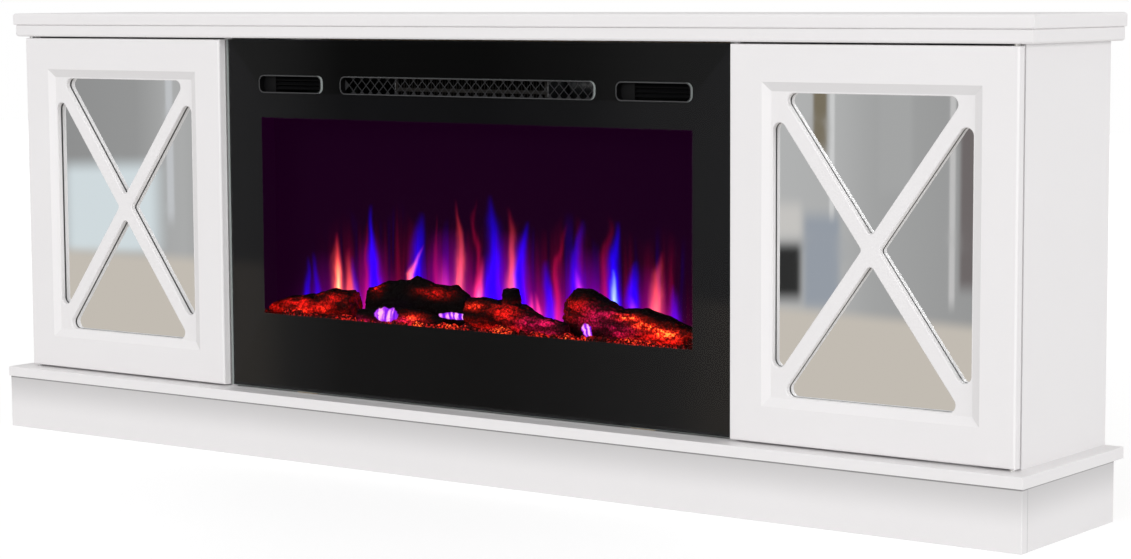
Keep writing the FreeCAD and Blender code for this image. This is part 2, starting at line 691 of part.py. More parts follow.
def magnetic_catches():
    """A case on the divider with two steel pole plates that face the door."""
    catches = []
    case_front = f"({POLE_FRONT} + catch_pole_reach)"
    z = f"{CATCH_MIDDLE} - catch_height / 2"
    for word, side in SIDES:
        x = from_middle(side, BAY_INNER, "catch_width")
        case = block(f"{word}_catch_case", x, case_front, z, "catch_width", "catch_depth", "catch_height")
        pieces = [case]
        for k in (1, 2):
            across = f"({BAY_INNER} + {k} * catch_width / 3 - catch_pole_thickness / 2)"
            pole_x = from_middle(side, across, "catch_pole_thickness")
            pole_z = f"{CATCH_MIDDLE} - strike_height / 2"
            depth = "catch_pole_reach + catch_pole_thickness"
            pieces.append(block(f"{word}_pole_{k}", pole_x, POLE_FRONT, pole_z,
                                "catch_pole_thickness", depth, "strike_height"))
        catches.append(fuse(f"{word}_catch", pieces))
    return group("magnetic_catches", catches)


# Doors

RECESS_X = f"({DOOR_WIDTH} / 2 - frame_width - bevel_width)"
RECESS_Z = f"({DOOR_HEIGHT} / 2 - rail_width - bevel_width)"
DIAGONAL = f"sqrt({RECESS_X} ^ 2 + {RECESS_Z} ^ 2)"
LATTICE_X = f"({RECESS_X} - lattice_margin)"
LATTICE_Z = f"({RECESS_Z} - lattice_margin)"
REBATE_X = f"({RECESS_X} + rebate_lap)"
REBATE_Z = f"({RECESS_Z} + rebate_lap)"
REBATE_DEPTH = "(tape_thickness + mirror_thickness)"


def lattice_triangles():
    """The four openings between the crossed bars, as corner points from the door's middle."""
    apex_z = f"(bar_width / 2 * {DIAGONAL} / {RECESS_X})"
    apex_x = f"(bar_width / 2 * {DIAGONAL} / {RECESS_Z})"
    wide = f"(({LATTICE_Z} - {apex_z}) * {RECESS_X} / {RECESS_Z})"
    tall = f"(({LATTICE_X} - {apex_x}) * {RECESS_Z} / {RECESS_X})"
    return [
        [("0", apex_z), (wide, LATTICE_Z), (f"-{wide}", LATTICE_Z)],
        [("0", f"-{apex_z}"), (f"-{wide}", f"-{LATTICE_Z}"), (wide, f"-{LATTICE_Z}")],
        [(apex_x, "0"), (LATTICE_X, f"-{tall}"), (LATTICE_X, tall)],
        [(f"-{apex_x}", "0"), (f"-{LATTICE_X}", tall), (f"-{LATTICE_X}", f"-{tall}")],
    ]


def lattice_corner(edge):
    """An edge through the lattice, from the recess floor to the mirror's rebate."""
    box = edge.BoundBox
    through = abs(box.YMin - value("recess_depth")) < TINY
    return through and runs_along(edge, "Y")


def lattice_apex(edge):
    box = edge.BoundBox
    return lattice_corner(edge) and (abs(box.XMin) < TINY or abs(box.ZMin) < TINY)


def door_panel(word, side):
    """One routed board: bevelled recess, crossed lattice bars and a rebate for the mirror behind."""
    owner = body(f"{word}_door_panel", f"{side} * {DOOR_CENTRE}", DOOR_FRONT, DOOR_MIDDLE)
    outline = sketch(owner, "outline", "XZ_Plane")
    half_x = f"({DOOR_WIDTH} / 2)"
    half_z = f"({DOOR_HEIGHT} / 2)"
    rectangle(outline, f"-{half_x}", half_x, f"-{half_z}", half_z)
    pad(owner, outline, "door_thickness", True)
    mouth = sketch(owner, "recess_mouth", "XZ_Plane")
    mouth_x = f"({RECESS_X} + bevel_width)"
    mouth_z = f"({RECESS_Z} + bevel_width)"
    rectangle(mouth, f"-{mouth_x}", mouth_x, f"-{mouth_z}", mouth_z)
    floor = sketch(owner, "recess_floor", "XZ_Plane", "-recess_depth")
    rectangle(floor, f"-{RECESS_X}", RECESS_X, f"-{RECESS_Z}", RECESS_Z)
    recess = owner.newObject("PartDesign::SubtractiveLoft", f"{word}_door_recess")
    recess.Profile = mouth
    recess.Sections = [floor]
    recess.Ruled = True
    rebate = sketch(owner, "mirror_rebate", "XZ_Plane", "-door_thickness")
    rectangle(rebate, f"-{REBATE_X}", REBATE_X, f"-{REBATE_Z}", REBATE_Z)
    pocket(owner, rebate, REBATE_DEPTH, True)
    openings = sketch(owner, "lattice_openings", "XZ_Plane")
    for corners in lattice_triangles():
        polygon(openings, corners)
    pocket(owner, openings, "door_thickness")
    for name, level, back in (("low", f"-{half_z}", True), ("high", half_z, False)):
        hole = sketch(owner, f"{name}_bush_hole", "XY_Plane", level)
        x = f"{side} * ({half_x} - pivot_inset)"
        circle(hole, x, "door_thickness / 2", "bush_radius + pivot_running_clearance")
        pocket(owner, hole, "pivot_in_door + pivot_running_clearance", back)
    fillet(owner, "recess_edge_radius", lambda edge: edge_within(edge, "0", mouth_x, mouth_z))
    fillet(owner, "lattice_apex_radius", lattice_apex)
    fillet(owner, "lattice_corner_radius", lattice_corner_left)
    fillet(owner, "door_edge_radius", lambda edge: door_outer_edge(edge, half_x, half_z))
    fillet(owner, "lattice_edge_radius", lambda edge: edge_within(edge, "recess_depth", LATTICE_X, LATTICE_Z))
    return owner


def edge_within(edge, level, half_x, half_z):
    """An edge at one depth that lies in a rectangle about the door's middle, its outline included."""
    box = edge.BoundBox
    inside_x = max(abs(box.XMin), abs(box.XMax)) < value(half_x) + TINY
    inside_z = max(abs(box.ZMin), abs(box.ZMax)) < value(half_z) + TINY
    return lies_at(edge, "Y", level) and inside_x and inside_z


def lattice_corner_left(edge):
    """A sharp lattice corner, away from the rounded apexes."""
    box = edge.BoundBox
    far_x = abs(abs(box.XMin) - value(LATTICE_X)) < TINY
    far_z = abs(abs(box.ZMin) - value(LATTICE_Z)) < TINY
    return lattice_corner(edge) and (far_x or far_z)


def door_outer_edge(edge, half_x, half_z):
    """Front edges all round, and the two upright edges at the back."""
    box = edge.BoundBox
    at_side = lies_at(edge, "X", half_x) or lies_at(edge, "X", f"-{half_x}")
    at_end = lies_at(edge, "Z", half_z) or lies_at(edge, "Z", f"-{half_z}")
    if lies_at(edge, "Y", "0"):
        return at_side or at_end
    return lies_at(edge, "Y", "door_thickness") and at_side and box.ZLength > TINY


def mirror(word, side):
    half_x = f"({REBATE_X} - mirror_clearance)"
    half_z = f"({REBATE_Z} - mirror_clearance)"
    x = f"{side} * {DOOR_CENTRE} - {half_x}"
    y = f"{DOOR_REAR} - mirror_thickness"
    z = f"{DOOR_MIDDLE} - {half_z}"
    return block(f"{word}_mirror", x, y, z, f"2 * {half_x}", "mirror_thickness", f"2 * {half_z}")


def mirror_tape(word, side):
    """A frame of foam tape in the corner of the rebate."""
    y = f"({DOOR_REAR} - {REBATE_DEPTH})"
    layers = []
    for name, inset in (("outer", "mirror_clearance"), ("inner", "tape_width")):
        half_x = f"({REBATE_X} - {inset})"
        half_z = f"({REBATE_Z} - {inset})"
        x = f"{side} * {DOOR_CENTRE} - {half_x}"
        z = f"{DOOR_MIDDLE} - {half_z}"
        width = f"2 * {half_x}"
        height = f"2 * {half_z}"
        layers.append(block(f"{word}_tape_{name}", x, y, z, width, "tape_thickness", height))
    return cut(f"{word}_mirror_tape", layers[0], layers[1:])


# Mirror clips: place on the rebate's edge as shares of its half width and half height
CLIP_SHARES = ((-0.6, 1), (0.6, 1), (-0.6, -1), (0.6, -1), (-1, 0), (1, 0))


def mirror_clips(word, side):
    """Flat clips screwed to the door, each lapping the edge of the mirror."""
    clips = []
    for k, (share_x, share_z) in enumerate(CLIP_SHARES, start=1):
        upright_clip = abs(share_z) == 1
        length = "clip_width" if upright_clip else "clip_length"
        height = "clip_length" if upright_clip else "clip_width"
        x = f"({side} * {DOOR_CENTRE} + {share_x} * {REBATE_X})"
        z = f"({DOOR_MIDDLE} + {share_z} * {REBATE_Z})"
        low_x = f"{x} - {length} / 2"
        low_z = f"{z} - {height} / 2"
        plate = block(f"{word}_clip_plate_{k}", low_x, DOOR_REAR, low_z, length, "clip_thickness", height)
        out_x = "0" if upright_clip else f"{share_x} * clip_length / 4"
        out_z = f"{share_z} * clip_length / 4" if upright_clip else "0"
        head = rod(f"{word}_clip_screw_{k}", "Y", f"{x} + {out_x}", DOOR_REAR, f"{z} + {out_z}",
                   "clip_screw_radius", "clip_thickness + clip_screw_height")
        clips.append(fuse(f"{word}_clip_{k}", [plate, head]))
    return group(f"{word}_mirror_clips", clips)


def pivot_bushes(word, side):
    x = f"{side} * {PIVOT_X}"
    half = f"({DOOR_HEIGHT} / 2)"
    starts = (("low", f"{DOOR_MIDDLE} - {half}"), ("high", f"{DOOR_MIDDLE} + {half} - pivot_in_door"))
    bushes = []
    for name, low in starts:
        sleeve = rod(f"{word}_{name}_sleeve", "Z", x, PIVOT_Y, low, "bush_radius", "pivot_in_door")
        bore = rod(f"{word}_{name}_bore", "Z", x, PIVOT_Y, low, PIVOT_HOLE, "pivot_in_door")
        bushes.append(cut(f"{word}_{name}_bush", sleeve, [bore]))
    return group(f"{word}_pivot_bushes", bushes)


def strike_plate(word, side):
    x = from_middle(side, BAY_INNER, "strike_width")
    z = f"{CATCH_MIDDLE} - strike_height / 2"
    return block(f"{word}_strike_plate", x, DOOR_REAR, z, "strike_width", "strike_thickness", "strike_height")


# Fireplace front: glass, print, flange and vents

FLANGE_FRONT = f"({CARCASS_FRONT} - flange_thickness)"
PRINT_FRONT = f"({FLANGE_FRONT} - print_thickness)"
GLASS_FRONT = f"({PRINT_FRONT} - glass_thickness)"
GLASS_HEIGHT = "(carcass_height - 2 * glass_end_gap)"
WINDOW_LOW = f"({LEDGE_TOP} + window_rise)"
WINDOW_HIGH = f"({CARCASS_TOP} - window_drop)"
VENT_MIDDLE = f"({WINDOW_HIGH} + vent_rise + vent_height / 2)"
INTAKE_CENTRE = f"({WINDOW_WIDTH} / 2 - intake_width / 2)"
VENTS = (("left", f"-{INTAKE_CENTRE}", "intake_width"), ("outlet", "0", OUTLET_WIDTH),
         ("right", INTAKE_CENTRE, "intake_width"))


def front_plate(name, y, thickness, inset, window_margin):
    """A pane, print or flange with the three vent slots and, given a margin, the window."""
    owner = body(name, "0", y, "0")
    half = f"(glass_width / 2 - {inset})"
    low = f"{LEDGE_TOP} + glass_end_gap + {inset}"
    high = f"{CARCASS_TOP} - glass_end_gap - {inset}"
    outline = sketch(owner, "outline", "XZ_Plane")
    rectangle(outline, f"-{half}", half, low, high)
    pad(owner, outline, thickness, True)
    slots = sketch(owner, "vent_slots", "XZ_Plane")
    slot_low = f"({VENT_MIDDLE} - vent_height / 2)"
    for word, x, width in VENTS:
        rectangle(slots, f"{x} - {width} / 2", f"{x} + {width} / 2", slot_low, f"{slot_low} + vent_height")
    pocket(owner, slots, thickness)
    edge_x = value(half)
    fillet(owner, "vent_corner_radius",
           lambda edge: runs_along(edge, "Y") and abs(edge.BoundBox.XMin) < edge_x - TINY)
    if window_margin is not None:
        window = sketch(owner, "window", "XZ_Plane")
        half_window = f"({WINDOW_WIDTH} / 2 + {window_margin})"
        window_low = f"{WINDOW_LOW} - {window_margin}"
        rectangle(window, f"-{half_window}", half_window, window_low, f"{WINDOW_HIGH} + {window_margin}")
        pocket(owner, window, thickness)
    return owner


def front_glass():
    return front_plate("front_glass", GLASS_FRONT, "glass_thickness", "0", None)


def glass_print():
    return front_plate("glass_print", PRINT_FRONT, "print_thickness", "0", "0")


def front_flange():
    margin = "flange_window_margin"
    return front_plate("front_flange", FLANGE_FRONT, "flange_thickness", "flange_inset", margin)


COLLAR_REAR = f"({GLASS_FRONT} + collar_depth)"


def vent_collar(word, x, width):
    """A thin rounded sleeve through the glass."""
    owner = body(f"{word}_vent_collar", x, GLASS_FRONT, VENT_MIDDLE)
    half_x = f"({width} / 2 - collar_clearance)"
    half_z = "(vent_height / 2 - collar_clearance)"
    outer = sketch(owner, "outer", "XZ_Plane")
    rectangle(outer, f"-{half_x}", half_x, f"-{half_z}", half_z)
    pad(owner, outer, "collar_depth", True)
    inner = sketch(owner, "inner", "XZ_Plane")
    in_x = f"({half_x} - collar_wall)"
    in_z = f"({half_z} - collar_wall)"
    rectangle(inner, f"-{in_x}", in_x, f"-{in_z}", in_z)
    pocket(owner, inner, "collar_depth")
    outer_radius = "vent_corner_radius - collar_clearance"
    fillet(owner, f"{outer_radius} - collar_wall", lambda edge: upright_corner(edge, in_x))
    fillet(owner, outer_radius, lambda edge: upright_corner(edge, half_x))
    return owner


def upright_corner(edge, half_x):
    """A corner edge, front to back, at one distance from the middle."""
    return runs_along(edge, "Y") and abs(abs(edge.BoundBox.XMin) - value(half_x)) < TINY


def vent_collars():
    return group("vent_collars", [vent_collar(word, x, width) for word, x, width in VENTS])


def outlet_mesh():
    """A flat net of diamonds behind the outlet slot."""
    half_x = value(f"{OUTLET_WIDTH} / 2 + mesh_border")
    half_z = value("vent_height / 2 + mesh_border")
    pitch = value("mesh_pitch")
    strand = value("mesh_strand")
    reach = pitch / 2 - strand / math.sqrt(2)
    rim = strand
    columns = int((half_x - rim - reach) // (pitch / 2))
    rows = int((half_z - rim - reach) // (pitch / 2))
    wires = [closed_wire([(-half_x, -half_z), (half_x, -half_z), (half_x, half_z), (-half_x, half_z)])]
    for column in range(-columns, columns + 1):
        for level in range(-rows, rows + 1):
            if (column + level) % 2:
                continue
            x = column * pitch / 2
            z = level * pitch / 2
            wires.append(closed_wire([(x - reach, z), (x, z - reach), (x + reach, z), (x, z + reach)]))
    net = new("Part::Feature", "outlet_mesh")
    face = Part.makeFace(wires, "Part::FaceMakerBullseye")
    net.Shape = face.extrude(FreeCAD.Vector(0, value("mesh_thickness"), 0))
    place(net, "0", COLLAR_REAR, VENT_MIDDLE)
    return net


def closed_wire(corners):
    points = [FreeCAD.Vector(x, 0, z) for x, z in corners]
    return Part.makePolygon(points + points[:1])


LOUVRE_SLATS = 3
LOUVRE_TILT = 35
LOUVRE_END_SHARE = 0.2


def intake_louvres():
    """A frame behind each intake slot with tilted slats and a plain end block."""
    louvres = []
    half_z = "(vent_height / 2 + louvre_border)"
    half_x = "(intake_width / 2 + louvre_border)"
    for word, side in SIDES:
        middle = f"{side} * {INTAKE_CENTRE}"
        low_z = f"{VENT_MIDDLE} - {half_z}"
        outer = block(f"{word}_louvre_outer", f"{middle} - {half_x}", COLLAR_REAR, low_z,
                      f"2 * {half_x}", "louvre_depth", f"2 * {half_z}")
        hollow_x = f"({half_x} - louvre_border)"
        end = f"{LOUVRE_END_SHARE} * intake_width"
        hollow_y = f"{COLLAR_REAR} - cut_overrun"
        hollow = block(f"{word}_louvre_hollow", f"{middle} - {hollow_x} + {end}", hollow_y,
                       f"{VENT_MIDDLE} - vent_height / 2", f"2 * {hollow_x} - {end}",
                       "louvre_depth + 2 * cut_overrun", "vent_height")
        pieces = [cut(f"{word}_louvre_frame", outer, [hollow])]
        for k in range(LOUVRE_SLATS):
            rise_share = (k + 1) / (LOUVRE_SLATS + 1) - 1 / 2
            slat = new("Part::Box", f"{word}_louvre_slat_{k + 1}")
            bind(slat, Length=f"2 * {hollow_x}", Width="louvre_depth - louvre_slat_thickness",
                 Height="louvre_slat_thickness")
            slat.Placement = FreeCAD.Placement(FreeCAD.Vector(), FreeCAD.Rotation(0, 0, LOUVRE_TILT))
            place(slat, f"{middle} - {hollow_x}", f"{COLLAR_REAR} + louvre_slat_thickness",
                  f"{VENT_MIDDLE} + {rise_share} * vent_height - louvre_slat_thickness")
            pieces.append(slat)
        louvres.append(fuse(f"{word}_louvre", pieces))
    return group("intake_louvres", louvres)


# Fireplace case

CASE_HALF = f"({DIVIDER_INNER} - case_side_gap)"
CASE_LOW = f"({LEDGE_TOP} + runner_height)"
CASE_HIGH = f"({CARCASS_TOP} - case_top_gap)"
CASE_REAR = f"({CARCASS_FRONT} + case_depth)"
CASE_FLOOR = f"({CASE_LOW} + sheet_thickness)"
CASE_ROOF = f"({CASE_HIGH} - sheet_thickness)"
INNER_HALF = f"({CASE_HALF} - sheet_thickness)"
INNER_REAR = f"({CASE_REAR} - sheet_thickness)"
DECK_LOW = f"({WINDOW_HIGH} + deck_rise)"
DECK_TOP = f"({DECK_LOW} + sheet_thickness)"


def insert_runners():
    runners = []
    for word, side in SIDES:
        x = from_middle(side, f"({CASE_HALF} - runner_inset - runner_width)", "runner_width")
        runners.append(block(f"{word}_runner", x, CARCASS_FRONT, LEDGE_TOP,
                             "runner_width", "case_depth", "runner_height"))
    return group("insert_runners", runners)


def case_plate(name, z):
    return block(name, f"-{CASE_HALF}", CARCASS_FRONT, z, f"2 * {CASE_HALF}", "case_depth", "sheet_thickness")


def case_sides():
    walls = []
    for word, side in SIDES:
        x = from_middle(side, INNER_HALF, "sheet_thickness")
        height = f"{CASE_ROOF} - {CASE_FLOOR}"
        walls.append(block(f"{word}_case_side", x, CARCASS_FRONT, CASE_FLOOR,
                           "sheet_thickness", "case_depth", height))
    return group("case_sides", walls)


GLAND_X = f"({INNER_HALF} - gland_inset)"
GLAND_Z = f"({CASE_FLOOR} + gland_inset)"


def case_back():
    """Back sheet with two rows of air slots behind the blower and a hole for the cord gland."""
    owner = body("case_back", "0", INNER_REAR, "0")
    outline = sketch(owner, "outline", "XZ_Plane")
    rectangle(outline, f"-{INNER_HALF}", INNER_HALF, CASE_FLOOR, CASE_ROOF)
    pad(owner, outline, "sheet_thickness", True)
    hole = sketch(owner, "gland_hole", "XZ_Plane")
    circle(hole, GLAND_X, GLAND_Z, "gland_radius + collar_clearance")
    pocket(owner, hole, "sheet_thickness")
    slot = sketch(owner, "air_slot", "XZ_Plane")
    count = int(value(f"{BLOWER_LENGTH} / back_slot_pitch"))
    left = f"-({count} - 1) / 2 * back_slot_pitch - back_slot_width / 2"
    low = f"({DECK_TOP} + {CASE_ROOF}) / 2 - back_slot_height / 2"
    rectangle(slot, left, f"{left} + back_slot_width", low, f"{low} + back_slot_height")
    first = pocket(owner, slot, "sheet_thickness")
    pattern = owner.newObject("PartDesign::LinearPattern", "case_back_air_slots")
    pattern.Originals = [first]
    pattern.Direction = (slot, ["H_Axis"])
    bind(pattern, Length=f"({count} - 1) * back_slot_pitch")
    pattern.Occurrences = count
    owner.Tip = pattern
    return owner


def cord_gland():
    """A flanged bush in the back of the case; its cord is left out."""
    flange = rod("gland_flange", "Y", GLAND_X, CASE_REAR, GLAND_Z,
                 "gland_flange_radius", "gland_flange_thickness")
    neck_y = f"{INNER_REAR} - gland_flange_thickness"
    neck_length = "(sheet_thickness + 2 * gland_flange_thickness + gland_length)"
    neck = rod("gland_neck", "Y", GLAND_X, neck_y, GLAND_Z, "gland_radius", neck_length)
    bore_y = f"{neck_y} - cut_overrun"
    bore_length = f"{neck_length} + 2 * cut_overrun"
    bore = rod("gland_bore", "Y", GLAND_X, bore_y, GLAND_Z, "gland_bore_radius", bore_length)
    return cut("cord_gland", fuse("gland_solid", [flange, neck]), [bore])


def heater_deck():
    half = f"({INNER_HALF} - inner_clearance)"
    depth = "case_depth - sheet_thickness - inner_clearance"
    return block("heater_deck", f"-{half}", CARCASS_FRONT, DECK_LOW, f"2 * {half}", depth, "sheet_thickness")


# Blower and heating element

BLOWER_Y = f"({CARCASS_FRONT} + blower_depth)"
BLOWER_Z = f"({DECK_TOP} + blower_rise)"
SCROLL_RADIUS = "(blower_radius + blower_scroll_gap)"
DUCT_FRONT = f"({BLOWER_Y} - duct_length)"
SCROLL_SWEEP = 150
BLADES = 24


def blower_housing():
    """Scroll wall and outlet duct between two end plates that stand on the deck."""
    half = f"({BLOWER_LENGTH} / 2)"
    length = f"{BLOWER_LENGTH} + 2 * sheet_thickness"
    x = f"-{half} - sheet_thickness"
    shell = rod("scroll_shell", "X", x, BLOWER_Y, BLOWER_Z, f"{SCROLL_RADIUS} + sheet_thickness", length)
    shell.Angle = SCROLL_SWEEP
    hollow_x = f"{x} - cut_overrun"
    hollow_length = f"{length} + 2 * cut_overrun"
    hollow = rod("scroll_hollow", "X", hollow_x, BLOWER_Y, BLOWER_Z, SCROLL_RADIUS, hollow_length)
    scroll = cut("scroll_wall", shell, [hollow])
    floor_z = f"({BLOWER_Z} - {SCROLL_RADIUS} - sheet_thickness)"
    floor = block("duct_floor", x, DUCT_FRONT, floor_z, length, "duct_length", "sheet_thickness")
    roof_z = f"{BLOWER_Z} + duct_top_rise"
    roof_length = f"duct_length - {SCROLL_RADIUS} + sheet_thickness"
    roof = block("duct_roof", x, DUCT_FRONT, roof_z, length, roof_length, "sheet_thickness")
    pieces = [scroll, floor, roof]
    depth = f"(duct_length + {SCROLL_RADIUS} + sheet_thickness)"
    for word, side in SIDES:
        plate_x = from_middle(side, half, "sheet_thickness")
        height = f"blower_rise + {SCROLL_RADIUS}"
        plate = block(f"{word}_scroll_end", plate_x, DUCT_FRONT, DECK_TOP, "sheet_thickness", depth, height)
        bore_x = f"{plate_x} - cut_overrun"
        bore = rod(f"{word}_scroll_bore", "X", bore_x, BLOWER_Y, BLOWER_Z,
                   "shaft_radius + shaft_clearance", "sheet_thickness + 2 * cut_overrun")
        pieces.append(cut(f"{word}_scroll_plate", plate, [bore]))
    return fuse("blower_housing", pieces)


def blower_wheel():
    """Cross-flow wheel: two end discs on a shaft, joined by a ring of curved blades."""
    wheel = f"({BLOWER_LENGTH} - 2 * blower_end_gap)"
    owner = body("blower_wheel", f"-{wheel} / 2", BLOWER_Y, BLOWER_Z)
    left_tail = "(blower_end_gap + sheet_thickness)"
    right_tail = f"({left_tail} + motor_length / 2)"
    shaft = sketch(owner, "shaft", "YZ_Plane", f"-{left_tail}")
    circle(shaft, "0", "0", "shaft_radius")
    pad(owner, shaft, f"{wheel} + {left_tail} + {right_tail}")
    for word, offset in (("left", "0"), ("right", f"{wheel} - blower_disc_thickness")):
        disc = sketch(owner, f"{word}_disc", "YZ_Plane", offset)
        circle(disc, "0", "0", "blower_radius")
        pad(owner, disc, "blower_disc_thickness")
    blade = sketch(owner, "blade", "YZ_Plane")
    blade_outline(blade)
    first = pad(owner, blade, wheel)
    pattern = owner.newObject("PartDesign::PolarPattern", "blower_blades")
    pattern.Originals = [first]
    pattern.Axis = (blade, ["N_Axis"])
    pattern.Angle = 360
    pattern.Occurrences = BLADES
    owner.Tip = pattern
    return owner


def blade_outline(drawing):
    """A thin crescent from the rim inwards, drawn as two arcs about one centre and two short ends."""
    radius = value("blower_blade_curve")
    wall = value("blower_blade_thickness")
    half_chord = value("blower_blade_depth / 2")
    half_sweep = math.asin(half_chord / radius)
    middle = value("blower_radius - blower_blade_depth / 2 - blower_blade_thickness")
    centre = FreeCAD.Vector(middle, -radius * math.cos(half_sweep), 0)
    start = math.pi / 2 - half_sweep
    stop = math.pi / 2 + half_sweep
    arcs = []
    for bend in (radius, radius + wall):
        ring = Part.Circle(centre, FreeCAD.Vector(0, 0, 1), bend)
        item = drawing.addGeometry(Part.ArcOfCircle(ring, start, stop))
        arcs.append(item)
    bends = ("blower_blade_curve", "blower_blade_curve + blower_blade_thickness")
    for text, item in zip(bends, arcs):
        rule = Sketcher.Constraint("Radius", item, value(text))
        drawing.setExpression(f"Constraints[{drawing.addConstraint(rule)}]", cells(text))
    drawing.addConstraint(Sketcher.Constraint("Coincident", arcs[0], 3, arcs[1], 3))
    for end in (1, 2):
        points = [drawing.getPoint(item, end) for item in arcs]
        line = drawing.addGeometry(Part.LineSegment(*points))
        drawing.addConstraint(Sketcher.Constraint("Coincident", line, 1, arcs[0], end))
        drawing.addConstraint(Sketcher.Constraint("Coincident", line, 2, arcs[1], end))


def blower_motor():
    """Motor can with a boss against the housing and a foot on the deck."""
    x = f"({BLOWER_LENGTH} / 2 + sheet_thickness)"
    boss = rod("motor_boss", "X", x, BLOWER_Y, BLOWER_Z,
               "motor_boss_radius", "motor_boss_length + motor_foot_thickness")
    can_x = f"({x} + motor_boss_length)"
    can = rod("motor_can", "X", can_x, BLOWER_Y, BLOWER_Z, "motor_radius", "motor_length")
    foot_y = f"{BLOWER_Y} - motor_radius / 2"
    foot = block("motor_foot", can_x, foot_y, DECK_TOP,
                 "motor_length", "motor_radius", "motor_foot_thickness")
    post_x = f"{can_x} + motor_length / 2 - motor_foot_thickness"
    post = block("motor_post", post_x, foot_y, DECK_TOP,
                 "2 * motor_foot_thickness", "motor_radius", "blower_rise - motor_radius / 2")
    bore_length = "motor_boss_length + motor_length / 2"
    bore = rod("motor_bore", "X", x, BLOWER_Y, BLOWER_Z, "shaft_radius + shaft_clearance", bore_length)
    return cut("blower_motor", fuse("motor_solid", [boss, can, foot, post]), [bore])


ELEMENT_ROWS = 2


def heating_element():
    """Finned heater in the outlet duct: rails along the duct with rows of upright fins between them."""
    owner = body("heating_element", f"-{BLOWER_LENGTH} / 2", DUCT_FRONT, f"{BLOWER_Z} - {SCROLL_RADIUS}")
    rise = f"({SCROLL_RADIUS} + duct_top_rise)"
    gap = f"(({rise} - ({ELEMENT_ROWS} + 1) * element_rail) / {ELEMENT_ROWS})"
    frame = sketch(owner, "frame", "XZ_Plane")
    rectangle(frame, "0", BLOWER_LENGTH, "0", rise)
    pad(owner, frame, "element_depth", True)
    windows = sketch(owner, "windows", "XZ_Plane")
    for k in range(ELEMENT_ROWS):
        low = f"({k + 1} * element_rail + {k} * {gap})"
        rectangle(windows, "element_rail", f"{BLOWER_LENGTH} - element_rail", low, f"{low} + {gap}")
    pocket(owner, windows, "element_depth")
    fin = sketch(owner, "fins", "XZ_Plane", "-element_fin_thickness")
    count = int(value(f"({BLOWER_LENGTH} - 2 * element_rail) / element_fin_pitch")) - 1
    left = f"(({BLOWER_LENGTH} - ({count} - 1) * element_fin_pitch - element_fin_thickness) / 2)"
    rectangle(fin, left, f"{left} + element_fin_thickness", "element_rail / 2", f"{rise} - element_rail / 2")
    first = pad(owner, fin, "element_depth - 2 * element_fin_thickness", True)
    pattern = owner.newObject("PartDesign::LinearPattern", "element_fins")
    pattern.Originals = [first]
    pattern.Direction = (fin, ["H_Axis"])
    bind(pattern, Length=f"({count} - 1) * element_fin_pitch")
    pattern.Occurrences = count
    owner.Tip = pattern
    return owner


# On the control board, as shares of its width and depth: posts, square parts with their size, capacitors
POST_SHARES = ((0.08, 0.12), (0.08, 0.88), (0.92, 0.12), (0.92, 0.88))
SQUARE_PART_SHARES = (("transformer", 0.2, 0.3, 0.28), ("relay", 0.6, 0.3, 0.16))
CAPACITOR_SHARES = (0.82, 0.9)


def control_board():
    """Circuit board on posts, with a relay, two capacitors and a transformer."""
    x = f"(-{INNER_HALF} + control_inset)"
    y = f"({BLOWER_Y} - control_depth / 2)"
    plate_z = f"({DECK_TOP} + standoff_height)"
    pieces = [block("control_plate", x, y, plate_z,
                    "control_width", "control_depth", "light_board_thickness")]
    for k, (share_x, share_y) in enumerate(POST_SHARES, start=1):
        post_x = f"{x} + {share_x} * control_width"
        post_y = f"{y} + {share_y} * control_depth"
        height = "standoff_height + light_board_thickness"
        pieces.append(rod(f"control_post_{k}", "Z", post_x, post_y, DECK_TOP, "standoff_radius", height))
    part_low = f"{plate_z} + light_board_thickness / 2"
    part_high = "2 * standoff_height + light_board_thickness / 2"
    for word, share_x, share_y, share_wide in SQUARE_PART_SHARES:
        size = f"{share_wide} * control_width"
        part_x = f"{x} + {share_x} * control_width"
        part_y = f"{y} + {share_y} * control_depth"
        pieces.append(block(word, part_x, part_y, part_low, size, size, part_high))
    for k, share_x in enumerate(CAPACITOR_SHARES, start=1):
        can_x = f"{x} + {share_x} * control_width"
        can_y = f"{y} + control_depth / 2"
        pieces.append(rod(f"capacitor_{k}", "Z", can_x, can_y, part_low, "standoff_radius", part_high))
    return fuse("control_board", pieces)


# Flame picture: screen, spindle and lights

SCREEN_FRONT = f"({CARCASS_FRONT} + screen_depth)"
SCREEN_REAR = f"({SCREEN_FRONT} + screen_thickness)"
SPINDLE_Y = f"({SCREEN_REAR} + spindle_depth)"
SPINDLE_Z = f"({CASE_FLOOR} + spindle_rise)"
SPINDLE_HALF = f"({INNER_HALF} - spindle_end_room)"
LIGHT_LENGTH = f"(2 * ({INNER_HALF} - light_board_end_room))"


def flame_screen():
    half = f"({INNER_HALF} - inner_clearance)"
    height = f"{DECK_LOW} - {CASE_FLOOR}"
    return block("flame_screen", f"-{half}", SCREEN_FRONT, CASE_FLOOR,
                 f"2 * {half}", "screen_thickness", height)


FIN_TURN = 137.5


